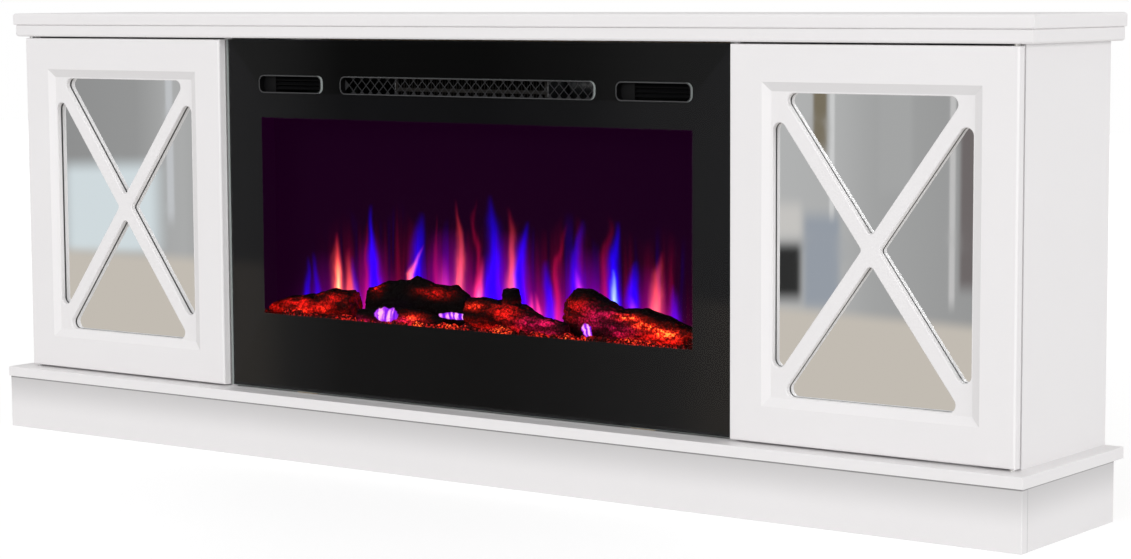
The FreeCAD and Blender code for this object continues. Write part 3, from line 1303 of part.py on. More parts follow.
def flame_spindle():
    """A slow shaft with small reflecting fins that step round it."""
    tail = "(bearing_thickness + shaft_radius)"
    x = f"-{SPINDLE_HALF} - {tail}"
    length = f"2 * {SPINDLE_HALF} + {tail} + spindle_motor_length / 2"
    pieces = [rod("spindle_shaft", "X", x, SPINDLE_Y, SPINDLE_Z, "shaft_radius", length)]
    count = int(value(f"2 * ({SPINDLE_HALF} - spindle_fin_pitch) / spindle_fin_pitch"))
    for k in range(count):
        fin = new("Part::Box", f"spindle_fin_{k + 1}")
        bind(fin, Length="spindle_fin_width", Width="spindle_fin_thickness", Height="spindle_fin_length")
        fin.Placement = FreeCAD.Placement(FreeCAD.Vector(), FreeCAD.Rotation(0, 0, FIN_TURN * k % 360))
        fin_x = f"({k} - ({count} - 1) / 2) * spindle_fin_pitch - spindle_fin_width / 2"
        place(fin, fin_x, SPINDLE_Y, SPINDLE_Z)
        pieces.append(fin)
    return fuse("flame_spindle", pieces)


def spindle_bearing():
    """Upright on the case floor with a bore for the spindle's left end."""
    x = f"(-{SPINDLE_HALF} - bearing_thickness)"
    y = f"{SPINDLE_Y} - bearing_width / 2"
    post = block("bearing_post", x, y, CASE_FLOOR,
                 "bearing_thickness", "bearing_width", "spindle_rise + bearing_width / 2")
    foot_x = f"{x} - bearing_width"
    foot = block("bearing_foot", foot_x, y, CASE_FLOOR,
                 "bearing_width", "bearing_width", "bearing_thickness / 2")
    bore_x = f"{x} - cut_overrun"
    bore_length = "bearing_thickness + 2 * cut_overrun"
    hole = "shaft_radius + shaft_clearance"
    bore = rod("bearing_bore", "X", bore_x, SPINDLE_Y, SPINDLE_Z, hole, bore_length)
    return cut("spindle_bearing", fuse("bearing_solid", [post, foot]), [bore])


def spindle_motor():
    """Small geared motor at the spindle's right end, on its own post."""
    x = SPINDLE_HALF
    can = rod("spindle_motor_can", "X", x, SPINDLE_Y, SPINDLE_Z,
              "spindle_motor_radius", "spindle_motor_length")
    y = f"{SPINDLE_Y} - bearing_width / 2"
    post = block("spindle_motor_post", x, y, CASE_FLOOR, "bearing_thickness", "bearing_width", "spindle_rise")
    foot_length = "spindle_motor_length + bearing_width"
    foot = block("spindle_motor_foot", x, y, CASE_FLOOR,
                 foot_length, "bearing_width", "bearing_thickness / 2")
    bore = rod("spindle_motor_bore", "X", x, SPINDLE_Y, SPINDLE_Z, "shaft_radius + shaft_clearance",
               "spindle_motor_length / 2 + shaft_radius")
    return cut("spindle_motor", fuse("spindle_motor_solid", [can, post, foot]), [bore])


def light_board(name, y):
    """A strip of lights on the case floor."""
    owner = body(name, f"-{LIGHT_LENGTH} / 2", y, CASE_FLOOR)
    strip = sketch(owner, "strip", "XY_Plane")
    rectangle(strip, "0", LIGHT_LENGTH, "0", "light_board_width")
    pad(owner, strip, "light_board_thickness")
    count = int(value(f"({LIGHT_LENGTH} - light_pitch) / light_pitch"))
    light = sketch(owner, "light", "XY_Plane")
    left = f"(({LIGHT_LENGTH} - ({count} - 1) * light_pitch - light_size) / 2)"
    low = "(light_board_width - light_size) / 2"
    rectangle(light, left, f"{left} + light_size", low, f"{low} + light_size")
    first = pad(owner, light, "light_board_thickness + light_height")
    pattern = owner.newObject("PartDesign::LinearPattern", f"{name}_lights")
    pattern.Originals = [first]
    pattern.Direction = (light, ["H_Axis"])
    bind(pattern, Length=f"({count} - 1) * light_pitch")
    pattern.Occurrences = count
    owner.Tip = pattern
    return owner


def light_boards():
    ember_y = f"({BED_FRONT} + {BED_REAR}) / 2 - light_board_width / 2"
    flame_y = f"{SCREEN_REAR} + bed_front_gap"
    boards = [light_board("ember_lights", ember_y), light_board("flame_lights", flame_y)]
    return group("light_boards", boards)


# Ember bed and logs

BED_FRONT = f"({CARCASS_FRONT} + bed_front_gap)"
BED_REAR = f"({SCREEN_FRONT} - inner_clearance)"
BED_DEPTH = f"({BED_REAR} - {BED_FRONT})"
BED_TOP = f"({WINDOW_LOW} - bed_drop)"
BED_HALF = f"({WINDOW_WIDTH} / 2 + bed_overlap)"

# Runs of coals along the front of the bed, as shares of the window's width from its middle
COAL_RUN_SHARES = ((-0.50, -0.30), (-0.06, 0.10), (0.22, 0.50))
# Coals vary in size, and stand in two rows behind the bed's front edge, in coal radii
COAL_SIZE_SHARES = (0.80, 0.62, 0.72, 0.77, 0.58)
COAL_ROW_SHARES = (1.2, 1.3)
COAL_TOP_SHARE = 0.55
COAL_TURN = 37


def ember_bed():
    """A moulded tray turned over, open below for its lights, with coals along its front edge."""
    height = f"({BED_TOP} - {CASE_FLOOR})"
    outer = block("bed_outer", f"-{BED_HALF}", BED_FRONT, CASE_FLOOR, f"2 * {BED_HALF}", BED_DEPTH, height)
    hollow_half = f"({BED_HALF} - bed_wall)"
    hollow = block("bed_hollow", f"-{hollow_half}", f"{BED_FRONT} + bed_wall", f"{CASE_FLOOR} - cut_overrun",
                   f"2 * {hollow_half}", f"{BED_DEPTH} - 2 * bed_wall", f"{height} - bed_wall + cut_overrun")
    pieces = [cut("bed_tray", outer, [hollow])]
    for low_share, high_share in COAL_RUN_SHARES:
        span = value(WINDOW_WIDTH) * (high_share - low_share)
        count = int(span // value("coal_pitch"))
        for k in range(count):
            x = f"{low_share} * {WINDOW_WIDTH} + {k} * coal_pitch"
            y = f"{BED_FRONT} + {COAL_ROW_SHARES[k % len(COAL_ROW_SHARES)]} * coal_radius"
            pieces.append(coal(f"coal_{len(pieces)}", x, y, k))
    return fuse("ember_bed", pieces)


def coal(name, x, y, k):
    """A tapered lump that grows out of the top of the tray."""
    lump = new("Part::Wedge", name)
    base_share = COAL_SIZE_SHARES[k % len(COAL_SIZE_SHARES)]
    top_share = COAL_TOP_SHARE * base_share
    bind(lump, Xmin=f"-{base_share} * coal_radius", Xmax=f"{base_share} * coal_radius",
         Zmin=f"-{base_share} * coal_radius", Zmax=f"{base_share} * coal_radius",
         X2min=f"-{top_share} * coal_radius", X2max=f"{top_share} * coal_radius",
         Z2min=f"-{top_share} * coal_radius", Z2max=f"{top_share} * coal_radius",
         Ymin="-bed_wall / 2", Ymax=f"{base_share} * coal_radius")
    upright_lump = FreeCAD.Rotation(FreeCAD.Vector(1, 0, 0), 90)
    spin = FreeCAD.Rotation(FreeCAD.Vector(0, 0, 1), COAL_TURN * k)
    lump.Placement = FreeCAD.Placement(FreeCAD.Vector(), spin.multiply(upright_lump))
    place(lump, x, y, BED_TOP)
    return lump


# Logs, from one end to the other: along the window's width from its middle, across the bed's depth
# from its front, top above the bed and width in thick-log diameters
LOG_SHARES = {
    "left_log": ((-0.535, 0.52, 0.30, 0.35), (-0.48, 0.50, 0.62, 0.66), (-0.42, 0.50, 0.76, 0.78),
                 (-0.37, 0.52, 0.98, 0.88), (-0.318, 0.53, 0.96, 0.80)),
    "rear_log": ((-0.296, 0.70, 1.05, 0.62), (-0.25, 0.70, 1.34, 0.80), (-0.195, 0.69, 1.40, 0.78),
                 (-0.178, 0.69, 1.60, 0.82), (-0.13, 0.70, 1.32, 0.80), (-0.082, 0.70, 1.36, 0.78),
                 (-0.052, 0.70, 1.05, 0.66)),
    "front_log": ((-0.285, 0.24, 0.42, 0.36), (-0.22, 0.24, 0.62, 0.44), (-0.13, 0.25, 0.58, 0.44),
                  (-0.075, 0.24, 0.34, 0.36)),
    "middle_log": ((-0.04, 0.56, 1.02, 0.80), (0.012, 0.54, 1.07, 0.84), (0.094, 0.48, 0.98, 0.80),
                   (0.125, 0.40, 0.74, 0.66), (0.165, 0.32, 0.60, 0.48), (0.205, 0.28, 0.48, 0.36)),
    "right_log": ((0.172, 0.74, 1.15, 0.50), (0.196, 0.71, 1.54, 0.76), (0.232, 0.68, 1.56, 0.84),
                  (0.262, 0.64, 1.36, 0.84), (0.305, 0.60, 1.02, 0.80), (0.36, 0.58, 1.15, 0.86),
                  (0.41, 0.56, 0.92, 0.76), (0.445, 0.55, 0.70, 0.62), (0.475, 0.54, 0.46, 0.46)),
}
# The stub of a branch on the middle log: place along the window, height and thickness as above, taper
STUB_SHARES = (0.058, 1.40, 0.34, 0.8)


def log_section(name, share_x, share_y, share_top, share_width, swing):
    """One oval across a log, from under the top of the bed to the log's own top."""
    oval = new("Part::Ellipse", name)
    tall = f"({share_top} * log_diameter + log_sink) / 2"
    wide = f"{share_width} * log_diameter / 2"
    bind(oval, MajorRadius=tall, MinorRadius=wide)
    standing = FreeCAD.Rotation(FreeCAD.Vector(1, 0, 0), 90).multiply(FreeCAD.Rotation(-90, 0, 0))
    across = FreeCAD.Rotation(FreeCAD.Vector(0, 0, 1), 90 + swing)
    oval.Placement = FreeCAD.Placement(FreeCAD.Vector(), across.multiply(standing))
    place(oval, f"{share_x} * {WINDOW_WIDTH}", f"{BED_FRONT} + {share_y} * {BED_DEPTH}",
          f"{BED_TOP} - log_sink + {tall}")
    return oval


def log(name):
    """A log lofted through ovals, flat underneath where it lies on the bed."""
    shares = LOG_SHARES[name]
    ovals = []
    for k, (share_x, share_y, share_top, share_width) in enumerate(shares):
        before = shares[max(k - 1, 0)]
        after = shares[min(k + 1, len(shares) - 1)]
        run = (after[0] - before[0]) * value(WINDOW_WIDTH)
        drift = (after[1] - before[1]) * value(BED_DEPTH)
        swing = math.degrees(math.atan2(drift, run))
        ovals.append(log_section(f"{name}_oval_{k + 1}", share_x, share_y, share_top, share_width, swing))
    trunk = new("Part::Loft", f"{name}_trunk")
    trunk.Sections = ovals
    trunk.Solid = True
    trunk.Ruled = True
    seat = block(f"{name}_seat", f"-{BED_HALF}", BED_FRONT, f"{BED_TOP} - 2 * log_diameter",
                 f"2 * {BED_HALF}", BED_DEPTH, "2 * log_diameter")
    if name != "middle_log":
        return cut(name, trunk, [seat])
    return fuse(name, [cut(f"{name}_lying", trunk, [seat]), log_stub()])


def log_stub():
    share_x, share_top, share_wide, taper_share = STUB_SHARES
    stub = new("Part::Cone", "log_stub")
    bind(stub, Radius1=f"{share_wide} * log_diameter", Radius2=f"{taper_share * share_wide} * log_diameter",
         Height=f"{share_top} * log_diameter / 2")
    middle = LOG_SHARES["middle_log"][1]
    place(stub, f"{share_x} * {WINDOW_WIDTH}", f"{BED_FRONT} + {middle[1]} * {BED_DEPTH}",
          f"{BED_TOP} + {share_top} * log_diameter / 2")
    return stub


# The whole assembly

def build_all():
    parts = [top_board(), top_moulding(), base_ledge(), plinth_front(), plinth_ends(), plinth_back_rail(),
             plinth_cross_braces(), shelf_pins(), back_panels(), back_rails(), carcass_dowels(),
             pivot_pins(), magnetic_catches()]
    for word, side in SIDES:
        parts += [side_panel(word, side), divider(word, side), shelf(word, side)]
        parts += [door_panel(word, side), mirror(word, side), mirror_tape(word, side),
                  mirror_clips(word, side), pivot_bushes(word, side), strike_plate(word, side)]
    parts += [front_glass(), glass_print(), front_flange(), vent_collars(), outlet_mesh(), intake_louvres()]
    parts += [insert_runners(), case_plate("case_top", CASE_ROOF), case_plate("case_bottom", CASE_LOW),
              case_sides(), case_back(), cord_gland(), heater_deck()]
    parts += [blower_housing(), blower_wheel(), blower_motor(), heating_element(), control_board()]
    parts += [flame_screen(), flame_spindle(), spindle_bearing(), spindle_motor(), light_boards()]
    parts.append(ember_bed())
    parts += [log(name) for name in LOG_SHARES]
    return parts


def check(parts):
    """Stop if any object failed, or if a sub-part is not made of valid closed solids."""
    for thing in doc.Objects:
        if "Invalid" in thing.State or "Error" in thing.State:
            raise RuntimeError(f"{thing.Label} failed: {thing.State}")
    for part in parts:
        shape = part.Shape
        if shape.isNull() or not shape.isValid() or not shape.Solids:
            raise RuntimeError(f"{part.Label} has no valid solid")


def main():
    parts = build_all()
    doc.recompute()
    check(parts)
    for part in parts:
        part.Shape.exportStep(os.path.join("parts", f"{part.Label}.step"))
        print(f"{part.Label}: {len(part.Shape.Solids)} solids, {part.Shape.Volume / 1000:.1f} cm3")


main()
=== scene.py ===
import math
import random

import bmesh
import bpy
from bpy.props import FloatProperty, FloatVectorProperty, IntProperty, PointerProperty
from mathutils import Matrix, Vector, noise


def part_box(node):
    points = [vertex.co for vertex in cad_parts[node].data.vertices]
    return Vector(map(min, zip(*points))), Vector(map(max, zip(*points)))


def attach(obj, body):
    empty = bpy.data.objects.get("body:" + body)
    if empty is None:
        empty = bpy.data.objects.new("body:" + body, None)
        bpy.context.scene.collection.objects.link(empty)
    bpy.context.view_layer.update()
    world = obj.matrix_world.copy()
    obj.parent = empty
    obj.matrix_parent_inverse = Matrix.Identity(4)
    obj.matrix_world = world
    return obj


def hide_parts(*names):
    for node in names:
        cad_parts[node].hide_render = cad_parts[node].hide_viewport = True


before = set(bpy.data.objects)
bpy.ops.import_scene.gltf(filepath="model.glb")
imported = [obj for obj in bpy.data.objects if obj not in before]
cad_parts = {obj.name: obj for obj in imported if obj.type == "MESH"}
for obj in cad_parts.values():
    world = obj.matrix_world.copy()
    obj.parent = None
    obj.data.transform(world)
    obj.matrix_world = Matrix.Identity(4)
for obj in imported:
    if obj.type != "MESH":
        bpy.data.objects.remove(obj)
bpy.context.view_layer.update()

bl_info = {
    "name": "Fireplace TV stand",
    "version": (1, 0, 0),
    "blender": (4, 5, 0),
    "location": "View3D > Sidebar > Stand",
    "description": "Finishes, fire and studio for a white media cabinet with an electric fireplace",
    "category": "Object",
}

MM = 0.001
ROOT_BODY = "cabinet"

# CAD nodes by finish
LACQUERED = ("top_board", "top_moulding", "left_side_panel", "right_side_panel", "left_divider",
             "right_divider", "base_ledge", "left_shelf", "right_shelf")
DOORS = ("left_door_panel", "right_door_panel")
PLINTH = ("plinth_front", "plinth_ends")
RAW_BOARDS = ("plinth_back_rail", "plinth_cross_braces", "back_rails", "insert_runners")
PLATED = ("shelf_pins", "pivot_pins", "left_strike_plate", "right_strike_plate", "left_mirror_clips",
          "right_mirror_clips")
BUSHES = ("left_pivot_bushes", "right_pivot_bushes")
MIRRORS = ("left_mirror", "right_mirror")
TAPES = ("left_mirror_tape", "right_mirror_tape")
BLACK_STEEL = ("case_top", "case_bottom", "case_back", "heater_deck", "spindle_bearing")
BLACK_PLASTIC = ("intake_louvres", "cord_gland")
GALVANISED = ("blower_housing", "blower_motor", "spindle_motor")
ALUMINIUM = ("blower_wheel", "flame_spindle")
CIRCUITS = ("control_board", "light_boards")
LOGS = ("left_log", "rear_log", "front_log", "middle_log", "right_log")

# Flame tongues on the screen, in millimetres: colour, middle, foot, tip, half width, lean, strength
TONGUES = (
    ("blue", -454, 205, 271, 8, -6, 0.35), ("blue", -371, 215, 289, 9, 6, 0.50),
    ("blue", -346, 220, 296, 9, -8, 0.40), ("orange", -308, 222, 328, 9, 0, 1.50),
    ("gold", -308, 215, 290, 6, 0, 0.90), ("gold", -41, 215, 262, 6, 2, 0.50),
    ("orange", -283, 216, 307, 11, -6, 0.70), ("blue", -271, 222, 294, 8, -10, 0.40),
    ("red", -253, 240, 354, 6, 4, 0.28), ("blue", -233, 225, 372, 13, -6, 1.35),
    ("blue", -158, 225, 365, 15, 4, 1.05), ("orange", -168, 272, 317, 5, 22, 0.70),
    ("red", -119, 240, 364, 6, 2, 0.35), ("pink", -104, 225, 308, 16, 0, 0.40),
    ("orange", -79, 225, 386, 10, 2, 0.75), ("red", -46, 225, 390, 6, 0, 0.45),
    ("pink", -41, 222, 308, 10, 2, 1.00), ("blue", -14, 222, 395, 19, 0, 1.25),
    ("orange", 19, 232, 379, 11, 2, 0.70), ("blue", 36, 280, 360, 12, 8, 0.95),
    ("pink", 51, 212, 262, 7, 6, 0.85), ("pink", 66, 212, 262, 6, -3, 0.95),
    ("blue", 85, 212, 307, 11, 0, 1.10), ("red", 99, 235, 361, 7, 4, 0.50),
    ("blue", 136, 235, 367, 14, 4, 0.80), ("pink", 146, 240, 300, 7, -8, 0.75),
    ("red", 182, 240, 374, 7, 6, 0.40), ("blue", 197, 222, 367, 12, 1, 1.50),
    ("white", 197, 222, 300, 6, 0, 0.95), ("blue", 228, 255, 314, 10, 12, 0.85),
    ("pink", 229, 226, 267, 9, -2, 0.75), ("orange", 266, 222, 330, 12, 10, 0.95),
    ("blue", 297, 208, 285, 9, 2, 0.80), ("red", 297, 225, 340, 7, 0, 0.20),
)
# Bands of haze between the tongues, in the same order of values
HAZES = (
    ("violet", -240, 190, 330, 60, 0, 0.44), ("violet", -100, 190, 345, 70, 0, 0.62),
    ("violet", 20, 190, 345, 80, 0, 0.70), ("violet", 150, 190, 330, 80, 0, 0.64),
    ("violet", 260, 190, 310, 55, 0, 0.44), ("violet", -330, 190, 300, 60, 0, 0.20),
    ("pink", -50, 200, 285, 40, 0, 0.13), ("pink", 95, 195, 270, 45, 0, 0.15),
    ("pink", 175, 205, 285, 30, 0, 0.10), ("pink", 275, 200, 265, 40, 0, 0.13),
    ("pink", -240, 205, 275, 30, 0, 0.08),
)
FLAME_COLOURS = {
    "blue": (0.004, 0.0, 0.90), "orange": (1.0, 0.16, 0.035), "red": (0.46, 0.004, 0.04), "pink": (1.0, 0.08, 0.30),
    "violet": (0.30, 0.0, 0.37), "white": (0.60, 0.85, 1.0), "gold": (1.0, 0.55, 0.14),
}
# Dim light of the screen where no flame is thrown; also painted as firelight on the fire box's inner sides
SCREEN_GLOW = (0.0049, 0.0, 0.0046)
# Heights in metres between which the painted firelight ends on the sides of the fire box
FIRE_BOX_TOP = (0.515, 0.505)
# Where each log glows, in millimetres: kind of heat, middle along, middle up, half length, half height, strength
GLOWS = {
    "left_log": (("red", -346, 227, 28, 8, 1.1), ("red", -299, 242, 12, 6, 0.8), ("red", -268, 234, 20, 9, 0.6),
                 ("fire", -345, 212, 30, 7, 0.75), ("fire", -291, 216, 15, 9, 0.55), ("red", -394, 217, 24, 9, 0.6),
                 ("red", -325, 220, 62, 12, 0.6)),
    "rear_log": (("red", -205, 252, 11, 8, 0.8), ("red", -93, 252, 24, 7, 0.55), ("red", -160, 206, 60, 5, 0.3)),
    "front_log": (("fire", -110, 214, 19, 10, 0.95), ("rose", -190, 207, 50, 5, 0.6), ("rose", -130, 210, 30, 6, 0.6)),
    "middle_log": (("fire", -12, 240, 32, 6, 0.85), ("red", 52, 232, 28, 10, 0.95), ("rose", 110, 221, 32, 14, 1.2),
                   ("red", 40, 210, 70, 9, 0.6)),
    "right_log": (("red", 160, 244, 26, 13, 0.6), ("rose", 206, 235, 32, 14, 0.8), ("rose", 234, 222, 28, 14, 0.6),
                  ("fire", 250, 239, 24, 5, 1.5), ("fire", 285, 231, 26, 6, 1.8), ("fire", 318, 222, 20, 8, 2.2),
                  ("red", 300, 212, 50, 9, 0.85)),
}
HEATS = ("red", "rose", "fire")
# Quiet coat over the clear window of the front glass, in metres: middle, half width, foot and top
WINDOW = (0.003, 0.3815, 0.2085, 0.4995)
# Patches of the logs' bark where flames are painted as if seen through openings, in millimetres: middle along,
# middle up, half length, half height
FLAME_PATCHES = {"front_log": (-159, 219, 23, 11), "rear_log": (-56, 220, 27, 5.5), "right_log": (178, 215, 9, 12)}
# Hot places along the ember bed: middle and half length in millimetres, heat
HOT_COALS = ((-345, 40, 0.4), (-241, 14, 0.9), (-213, 12, 0.9), (-160, 16, 0.8), (-100, 26, 1.2),
             (-42, 24, 1.4), (21, 8, 1.4), (42, 8, 1.4), (58, 8, 1.4), (112, 22, 0.8),
             (174, 26, 1.4), (266, 24, 0.9), (307, 24, 1.0))
# Greys of the plain room that mirrors and glass show: bearing in degrees to the left of the front, tone
ROOM_WALL = ((0, 0.62), (26.5, 0.50), (27.7, 0.33), (30.1, 0.40), (30.7, 0.46), (32.6, 0.50), (33.0, 0.36),
             (34.6, 0.30), (36.0, 0.17), (38.0, 0.09), (41.0, 0.10), (42.0, 0.24), (42.6, 0.30), (43.4, 0.34),
             (44.4, 0.46), (45.2, 0.33), (46.8, 0.30), (50.0, 0.50), (60.0, 0.60))
ROOM_SPAN = 60.0
# What stands in that room: bearing, half width, lowest and highest slope of sight, tone
ROOM_BOXES = (
    (31.95, 0.42, -0.110, -0.090, (0.03, 0.03, 0.03)), (31.95, 0.42, -0.088, -0.076, (0.62, 0.60, 0.58)),
    (31.10, 0.36, -0.113, -0.080, (0.33, 0.36, 0.41)), (31.15, 0.14, -0.058, 0.100, (0.20, 0.17, 0.12)),
    (30.90, 0.05, -0.080, 0.100, (0.66, 0.66, 0.66)), (28.43, 0.06, -0.112, 0.100, (0.58, 0.57, 0.57)),
    (44.55, 0.07, -0.080, 0.100, (0.58, 0.59, 0.61)), (45.75, 0.95, -0.092, -0.060, (0.70, 0.77, 0.80)),
    (28.05, 0.22, -0.106, 0.100, (0.17, 0.15, 0.15)), (29.60, 0.34, -0.072, -0.030, (0.41, 0.41, 0.41)),
)
ROOM_FLOOR = (0.60, 0.55, 0.49)
# The dark stretch that hides the room's floor: bearings where it starts, is full, is still full and ends
ROOM_DARK = (33.0, 34.5, 42.0, 43.0)
# Where the room's floor ends: a bearing, the slope of sight there, and its change with each degree
SKIRTING = (30.0, -0.1165, 0.0016)
# Lamps, in metres: name, place, and the point that they shine on
LAMPS = (("key", (0.0, -12.0, 4.2), (0.0, 0.0, 0.35)), ("side", (12.0, -2.0, 3.0), (0.8, 0.0, 0.35)))
LAMP_SIZE = (4.2, 3.1)
SENSOR_WIDTH = 36.0


# Sizes and colours that a user would change

class StandFinishes(bpy.types.PropertyGroup):
    """Colours of the cabinet and of the insert's front."""
    lacquer: FloatVectorProperty(name="Lacquer", description="White of the painted boards", size=3,
                                 subtype="COLOR", default=(0.845, 0.83, 0.835))
    mirror: FloatVectorProperty(name="Mirror", description="Tint of the silvered glass", size=3,
                                subtype="COLOR", default=(0.90, 0.91, 0.91))
    glass: FloatVectorProperty(name="Front glass", description="Tint of the front glass", size=3,
                               subtype="COLOR", default=(0.93, 0.93, 0.935))
    collar: FloatVectorProperty(name="Vent collars", description="Paint of the vent collars", size=3,
                                subtype="COLOR", default=(0.075, 0.075, 0.078))


class StandFire(bpy.types.PropertyGroup):
    """The flame picture, the logs and the coals."""
    flame_strength: FloatProperty(name="Flames", description="Brightness of the flame screen", default=2.1)
    glow_strength: FloatProperty(name="Glow", description="Brightness of logs and coals", default=1.6)
    bark_step: FloatProperty(name="Bark step", description="Fineness of the bark's surface", unit="LENGTH",
                             default=0.002)
    bark_depth: FloatProperty(name="Bark depth", description="Depth of the bark's ridges", unit="LENGTH",
                              default=0.0028)
    coal_count: IntProperty(name="Coals", description="Number of coals on the bed", default=300)
    coal_size: FloatProperty(name="Coal size", description="Radius of the largest coal", unit="LENGTH",
                             default=0.0088)
    seed: IntProperty(name="Seed", description="Start of the random draws", default=7)


class StandStage(bpy.types.PropertyGroup):
    """Camera, floor and light."""
    eye: FloatVectorProperty(name="Camera place", description="Where the camera stands", size=3,
                             subtype="XYZ", unit="LENGTH", default=(2.400, -3.113, 0.6786))
    turn: FloatVectorProperty(name="Camera turn", description="Pitch, roll and yaw of the camera", size=3,
                              subtype="EULER", default=tuple(math.radians(a) for a in (-5.914, 0.288, 36.420)))
    lens: FloatProperty(name="Lens", description="Focal length", unit="CAMERA", default=88.05)
    floor: FloatVectorProperty(name="Floor", description="Colour of the floor", size=3, subtype="COLOR",
                               default=(0.36, 0.36, 0.36))
    floor_glow: FloatProperty(name="Floor glow", description="Light that comes up through the floor", default=0.82)
    air: FloatProperty(name="Air", description="Light from all round", default=0.60)
    key: FloatProperty(name="Key light", description="Power of the lamp in front", unit="POWER", default=488)
    side: FloatProperty(name="Side light", description="Power of the lamp at the right", unit="POWER", default=440)


# Nodes

class Wire:
    """An output socket of a finish. Sums on it add Math nodes."""

    def __init__(self, finish, socket):
        self.finish = finish
        self.socket = socket

    def math(self, operation, *terms, clamp=False):
        return self.finish.node("ShaderNodeMath", {"operation": operation, "use_clamp": clamp},
                                dict(enumerate(terms)))

    def __add__(self, other):
        return self.math("ADD", self, other)

    __radd__ = __add__

    def __sub__(self, other):
        return self.math("SUBTRACT", self, other)

    def __rsub__(self, other):
        return self.math("SUBTRACT", other, self)

    def __mul__(self, other):
        return self.math("MULTIPLY", self, other)

    __rmul__ = __mul__

    def __truediv__(self, other):
        return self.math("DIVIDE", self, other)

    def __rtruediv__(self, other):
        return self.math("DIVIDE", other, self)

    def __pow__(self, other):
        return self.math("POWER", self, other)

    def __rpow__(self, other):
        return self.math("POWER", other, self)

    def sine(self):
        return self.math("SINE", self)

    def clamped(self):
        return self.math("ADD", self, 0.0, clamp=True)

    def step(self, low, high):
        """Zero below low, one above high and smooth between; low may be the larger."""
        return self.finish.node("ShaderNodeMapRange", {"interpolation_type": "SMOOTHSTEP"},
                                {"Value": self, "From Min": low, "From Max": high})

    def output(self, name):
        """Another output of the same node."""
        return Wire(self.finish, self.socket.node.outputs[name])


class Finish:
    """A material, or the air of the stage, made of nodes."""

    def __init__(self, owner):
        self.owner = owner
        owner.use_nodes = True
        self.tree = owner.node_tree
        self.tree.nodes.clear()

    def node(self, kind, settings=None, sockets=None, take=0):
        """Add a node: its settings first, then the values and links of its sockets."""
        made = self.tree.nodes.new(kind)
        for name, setting in (settings or {}).items():
            if name == "stops":
                fill_ramp(made.color_ramp, setting)
            else:
                setattr(made, name, setting)
        for name, content in (sockets or {}).items():
            if isinstance(content, Wire):
                self.tree.links.new(content.socket, made.inputs[name])
            else:
                made.inputs[name].default_value = content
        return Wire(self, made.outputs[take]) if len(made.outputs) else None

    def place(self):
        """Where the surface is, in metres in the frame of the part."""
        return self.node("ShaderNodeTexCoord", take="Object")

    def facing(self):
        """Which way the surface faces: across, deep and up."""
        return self.split(self.node("ShaderNodeTexCoord", take="Normal"))

    def split(self, vector):
        parts = self.node("ShaderNodeSeparateXYZ", sockets={"Vector": vector})
        return parts, parts.output("Y"), parts.output("Z")

    def mesh_value(self, name):
        """A value that the piece's mesh carries."""
        return self.node("ShaderNodeAttribute", {"attribute_name": name}, take="Fac")

    def stretched(self, vector, by):
        return self.node("ShaderNodeVectorMath", {"operation": "MULTIPLY"}, {0: vector, 1: by})

    def grain(self, vector, scale, detail=2.0, rough=0.5):
        """Soft noise; three scales stretch it along the axes."""
        if isinstance(scale, tuple):
            vector, scale = self.stretched(vector, scale), 1.0
        return self.node("ShaderNodeTexNoise", sockets={"Vector": vector, "Scale": scale, "Detail": detail,
                                                        "Roughness": rough})

    def cells(self, vector, scale, feature="F1", take="Distance"):
        return self.node("ShaderNodeTexVoronoi", {"feature": feature}, {"Vector": vector, "Scale": scale}, take)

    def ramp(self, value, stops):
        return self.node("ShaderNodeValToRGB", {"stops": stops}, {"Fac": value})

    def blend(self, share, one, other, kind="MIX"):
        """One colour over another, by a share."""
        settings = {"data_type": "RGBA", "blend_type": kind, "clamp_factor": kind == "MIX"}
        return self.node("ShaderNodeMix", settings, {0: share, 6: paint(one), 7: paint(other)}, 2)

    def clouded(self, share, colour, low, high):
        """A colour that wanders between two shares of itself."""
        return self.blend(share, shade(colour, low), shade(colour, high))

    def mixed(self, share, one, other):
        """One shader over another, by a share."""
        return self.node("ShaderNodeMixShader", sockets={0: share, 1: one, 2: other})

    def bump(self, height, depth, strength):
        return self.node("ShaderNodeBump", sockets={"Height": height, "Distance": depth, "Strength": strength})

    def principled(self, sockets):
        return self.node("ShaderNodeBsdfPrincipled", sockets=sockets)

    def surface(self, shader):
        kind = "ShaderNodeOutputWorld" if isinstance(self.owner, bpy.types.World) else "ShaderNodeOutputMaterial"
        self.node(kind, sockets={"Surface": shader})
        return self.owner

    def coated(self, sockets):
        """The owner, under one principled shader."""
        return self.surface(self.principled(sockets))


def paint(colour):
    """A colour with its alpha, or a wire as it is."""
    if isinstance(colour, Wire):
        return colour
    return (*colour[:3], 1.0)


def shade(colour, share):
    """A colour made darker or brighter."""
    return tuple(min(share * part, 1.0) for part in colour[:3])


def fill_ramp(ramp, stops):
    while len(ramp.elements) < len(stops):
        ramp.elements.new(1.0)
    for element, (place, colour) in zip(ramp.elements, stops):
        element.position = place
        element.color = paint(colour)


def new_finish(name):
    """An empty material, and the place of its surface."""
    finish = Finish(bpy.data.materials.new(name))
    return finish, finish.place()


def upright_patch(across, up, middle, half, foot, top, soft):
    """One inside an upright rectangle and zero outside it, with a soft edge."""
    aside = (across - middle) ** 2.0
    return aside.step(half ** 2, (half - soft) ** 2) * up.step(foot, foot + soft) * up.step(top, top - soft)


# Finishes

